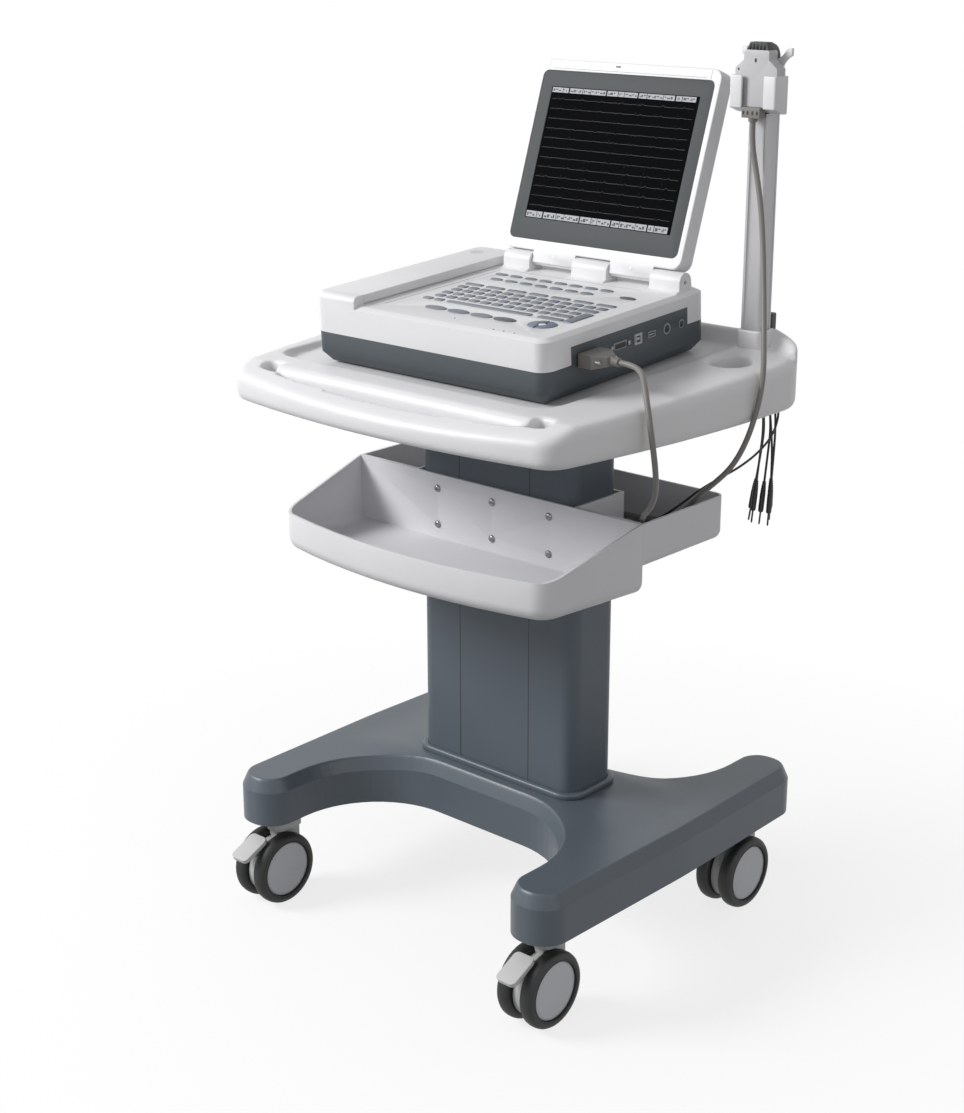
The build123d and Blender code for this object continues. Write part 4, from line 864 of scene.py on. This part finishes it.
bm = bmesh.new()
for side in (-1, 1):
    turned(bm, [(0, 2.2), (1.4, 2.2), (1.6, 1.8), (2.9, 1.8), (3, 0), (0, 0)],
           facing_right(WALL, VIDEO_Y + side * 16.5, PORT_Z), steps=6)
for side in (-1, 1):
    turned(bm, [(0, 10), (2, 10), (2.6, 9), (2.6, 1.5), (1.6, 1.2), (1.6, -1), (0, -1)],
           facing_right(WALL + 22, DATA_Y + side * 15, PORT_Z), steps=24)
rounded_block(bm, (WALL - 1, WALL + 0.5), (NETWORK_Y - 3, NETWORK_Y + 3),
              (PORT_Z - 2, PORT_Z + 2), 0.4)
rounded_block(bm, (WALL - 1, WALL + 0.6), (USB_Y - 5.4, USB_Y + 5.4),
              (PORT_Z - 0.9, PORT_Z + 0.9), 0.3)
finish_piece(bm, "port_studs", "trolley", screw_steel, place=RECORDER)

frame_light = surface("frame_light", tone(186, 187, 190), 0.4, grain=1500)
bm = bmesh.new()
for side in (-1, 1):
    y, z = NETWORK_Y + side * 4.9, PORT_Z + side * 5.2
    rounded_block(bm, (WALL - 1, WALL + 0.9), (y - 0.9, y + 0.9), (PORT_Z - 6.4, PORT_Z + 6.4), 0.3)
    rounded_block(bm, (WALL - 1, WALL + 0.9), (NETWORK_Y - 4.2, NETWORK_Y + 4.2),
                  (z - 1.2, z + 1.2), 0.3)
finish_piece(bm, "network_frame", "trolley", frame_light, place=RECORDER)

# %% [markdown]
# A case moulding also has shadow lines where two forms meet, painted here as thin grey strips, and
# a thumb recess on the door, whose shade is painted as a slightly darker disc.

# %% Case marks
# One grey for painted shadow lines on the deck and for the bezel's real hairline seams.
seam_and_shade_grey = surface("seam_and_shade_grey", tone(150, 150, 153), 0.6, depth=0.0)
bm = bmesh.new()
# Painted shade along a step across the deck and along a groove in it.
strip(bm, (-114, 101, DECK + 0.06), (122, 101, DECK + 0.06), 0.7)
strip(bm, (-111.5, -122, DECK + 0.06), (-111.5, 98, DECK + 0.06), 1.6)
for y in (-146, 60):
    strip(bm, (-204.94, y, 45), (-204.94, y + 60, 45), 0.8, out=(-1, 0, 0))
finish_piece(bm, "deck_shadow_lines", "trolley", seam_and_shade_grey, place=RECORDER)

thumb_recess_shade = surface("thumb_recess_shade", tone(203, 203, 206), 0.5, grain=1300)
bm = bmesh.new()
# Painted shade: a slightly darker disc with a sunk rim stands for the shade in the door's thumb
# recess.
turned(bm, [(0, 0.04), (8.4, 0.04), (9.4, 0.2), (10, -0.2), (0, -0.2)],
       Matrix.Translation((-177, 124, DOOR_TOP)), steps=40)
finish_piece(bm, "door_thumb_recess_shade", "paper_door", thumb_recess_shade, place=RECORDER)

# %% [markdown]
# ## Keys
# The letter keys are low caps with square corners on a 19.1 mm pitch, and the function keys are
# ovals. All caps of one group press down together on a common mat, so each group is one piece on
# one body. Where one group has caps of several colours, each colour is its own piece.

# %% Keys
key_grey = surface("key_grey", tone(122, 127, 135), 0.5, grain=1800)
key_blue = surface("key_blue", tone(108, 118, 134), 0.5, grain=1800)
key_dark = surface("key_dark", tone(84, 88, 90), 0.5, grain=1800)
nav_grey = surface("nav_grey", tone(112, 122, 140), 0.42, grain=1800)
KEY_Z = (76.5, 80.3)
letter_rows = [(-82.5 + 36.2 * i, 14, 29, 7.5) for i in range(7)]
for y, start, count in ((-2.6, -87.6, 13), (-19, -83.5, 11), (-36, -83.8, 12), (-53, -80, 11)):
    letter_rows += [(start + 19.1 * i, y, 14, 10) for i in range(count)]
letter_rows += [(133, -19, 28, 10), (126.5, -53, 19, 10), (145, -53, 14, 45), (-84.4, -71, 14, 9),
                (-65.3, -71, 14, 9), (18, -71, 138, 8), (117, -71, 38, 9)]
ovals = {
    "function_keys": [(-90.4 + 25.2 * i, 76.5, 20, 9.5) for i in range(8)] +
                     [(-77.9 + 25.2 * i, 52, 20, 9.5) for i in range(7)],
    "menu_keys": [(-40 + 37.8 * i, -104.5, 34, 15) for i in range(4)],
    "power_key": [(133.5, 58.2, 24, 10)],
    "nav_pad": [(128, -99, 38, 32)],
}
bm = bmesh.new()
for x, y, width, depth in letter_rows:
    capsule(bm, x, y, width, depth, KEY_Z, edge=0.9, square=2.6)
finish_piece(bm, "letter_key_caps", "letter_keys", key_grey, replaces=["letter_keys"],
             place=RECORDER)


def key_caps(name, keys, group, material):
    """Oval caps of one colour in a group that moves together."""
    bm = bmesh.new()
    for x, y, width, depth in keys:
        capsule(bm, x, y, width, depth, KEY_Z, edge=1.0)
    finish_piece(bm, name, group, material, replaces=[group], place=RECORDER)


key_caps("function_key_caps", ovals["function_keys"], "function_keys", key_grey)
menu = ovals["menu_keys"]
key_caps("menu_key_caps", [menu[0], menu[2]], "menu_keys", key_grey)
key_caps("menu_key_blue", [menu[1]], "menu_keys", key_blue)
key_caps("menu_key_dark", [menu[3]], "menu_keys", key_dark)
key_caps("power_key_cap", ovals["power_key"], "power_key", key_dark)

# %% [markdown]
# The pad that moves the cursor is a ring of two crescents with a small light button in the
# middle. A slab cut by two planes gives the crescents their straight gap.

# %% Cursor pad
PAD_DIP = 78.2                   # how deep the gap and the middle reach
bm = bmesh.new()
x, y, width, depth = ovals["nav_pad"][0]
capsule(bm, x, y, width, depth, KEY_Z, edge=1.0)
gap_cut, hole_cut = bmesh.new(), bmesh.new()
rounded_block(gap_cut, (x - 1.6, x + 1.6), (y - 20, y + 20), (PAD_DIP, 90), 0)
turned(hole_cut, [(0, PAD_DIP), (6.4, PAD_DIP), (6.4, 90), (0, 90)],
       Matrix.Translation((x, y, 0)), steps=32)
bm = modified(bm, "pad", (gap_cut, hole_cut))
finish_piece(bm, "nav_pad_crescents", "nav_pad", nav_grey, replaces=["nav_pad"],
             place=RECORDER)
bm = bmesh.new()
capsule(bm, x, y, 10.4, 9.6, (78, 79.9), edge=0.7)
finish_piece(bm, "nav_pad_button", "nav_pad", case_white, place=RECORDER)

# %% [markdown]
# ## Lid and screen
# The lid leans back a little past upright. A dark bezel frames the display. The display is black
# glass over a picture: a heart trace in each of twelve rows, with a narrow bar of small signs
# above and below.

# %% Lid
bezel_dark = surface("bezel_dark", tone(78, 81, 83), 0.62, grain=1300)
bezel_dark.node_tree.nodes["Principled BSDF"].inputs["Specular IOR Level"].default_value = 0.25
softened("lid_back", 1.6, "lid", case_white)
softened("lid_bezel", 0.7, "lid", bezel_dark)
glass_black = surface("glass_black", tone(18, 19, 20), 0.4, grain=200, depth=0.0, gloss_drift=0.02)
glass_black.node_tree.nodes["Principled BSDF"].inputs["Specular IOR Level"].default_value = 0.0
repaint("lcd_panel", glass_black)
print("lid finished")

# %% [markdown]
# The traces are drawn point by point from a short rule for one heart beat: three soft bumps and a
# sharp spike. Bars of plain boxes stand for the menu above and below; they hold no writing.

# %% Screen picture
def heart_beat(t):
    """Height of a heart trace at a place t in one beat, from 0 to 1."""
    bumps = ((0.18, 0.030, 0.15), (0.30, 0.008, -0.12), (0.325, 0.010, 1.0), (0.35, 0.010, -0.28),
             (0.55, 0.050, 0.28))
    return sum(h * 2.718 ** (-((t - c) / w) ** 2) for c, w, h in bumps)


trace_ink = surface("trace_ink", tone(80, 90, 86), 0.6, depth=0.0)
sign_ink = surface("sign_ink", tone(172, 174, 178), 0.6, depth=0.0)
# The dark of the screen's signs, and also the painted shade of the latch slot on the lid.
sign_dark_and_slot_shade = surface("sign_dark_and_slot_shade", tone(60, 62, 66), 0.6, depth=0.0)
GLASS = -1.55
bm = bmesh.new()
for row in range(12):
    level = 164 - row * 12.9
    heights = (6.2, 4.8, 3.2, -4.4, 4.0, 2.8, -4.0, 6.0, 7.2, 6.4, 5.2, 4.0)
    previous = None
    for step in range(331):
        x = -99 + step * 0.7
        rise = heights[row] * heart_beat((step * 0.7 / 33.0 + row * 0.003) % 1.0)
        pair = [bm.verts.new((x, level + rise + half, GLASS)) for half in (-0.13, 0.13)]
        if previous:
            bm.faces.new((previous[0], pair[0], pair[1], previous[1]))
        previous = pair
finish_piece(bm, "screen_traces", "lid", trace_ink, place=LID)

light_bm, dark_bm = bmesh.new(), bmesh.new()
for low, high, dark_low, dark_high in ((172.6, 179.2, 174.2, 177.4), (6.0, 14.2, 7.4, 12.2)):
    x, k = -101.0, 0
    while x < 133:
        width = (17.5, 9.0, 21.0, 12.5, 25.0)[k % 5]
        middle = (low + high) / 2
        strip(light_bm, (x, middle, GLASS), (min(x + width, 137), middle, GLASS), high - low)
        mark, m = x + 1.4, 0
        while mark < min(x + width, 136) - 3:
            wide = (2.6, 1.2, 4.4, 1.8, 3.2)[(m * 2 + k) % 5]
            middle = dark_low + (dark_high - dark_low) * (0.5, 0.72, 0.3)[(m + k) % 3]
            strip(dark_bm, (mark, middle, GLASS + 0.05), (mark + wide, middle, GLASS + 0.05),
                  (dark_high - dark_low) * (0.9, 0.4, 0.5)[(m + k) % 3])
            mark += wide + (0.9, 1.7, 0.8)[(m + k) % 3]
            m += 1
        x += width + (0.8, 2.2, 1.0)[k % 3]
        k += 1
finish_piece(light_bm, "screen_boxes", "lid", sign_ink, place=LID)
finish_piece(dark_bm, "screen_signs", "lid", sign_dark_and_slot_shade, place=LID)

# %% [markdown]
# The lid's own small details: two screw covers under the display, the latch's slot at the top,
# whose shade is painted as a dark strip, and the hairline seams of the bezel.

# %% Lid marks
bm = bmesh.new()
for x in (-38, 90):
    turned(bm, [(0, 0.5), (1.9, 0.45), (2.4, 0.2), (2.5, -0.3), (0, -0.3)],
           Matrix.Translation((x, -43, 0)), steps=24)
finish_piece(bm, "screw_covers", "lid", case_white, place=LID)
bm = bmesh.new()
# Painted shade: a dark strip stands for the latch slot's hollow.
strip(bm, (-3, 210.5, 0.05), (5, 210.5, 0.05), 1.8)
finish_piece(bm, "latch_slot_shade", "lid", sign_dark_and_slot_shade, place=LID)
bm = bmesh.new()
for x in (-113, 149):
    strip(bm, (x, 203, 0.05), (x, 214, 0.05), 0.5)
strip(bm, (-106, 204.2, 0.04), (142, 204.2, 0.04), 0.5)
finish_piece(bm, "lid_seams", "lid", seam_and_shade_grey, place=LID)
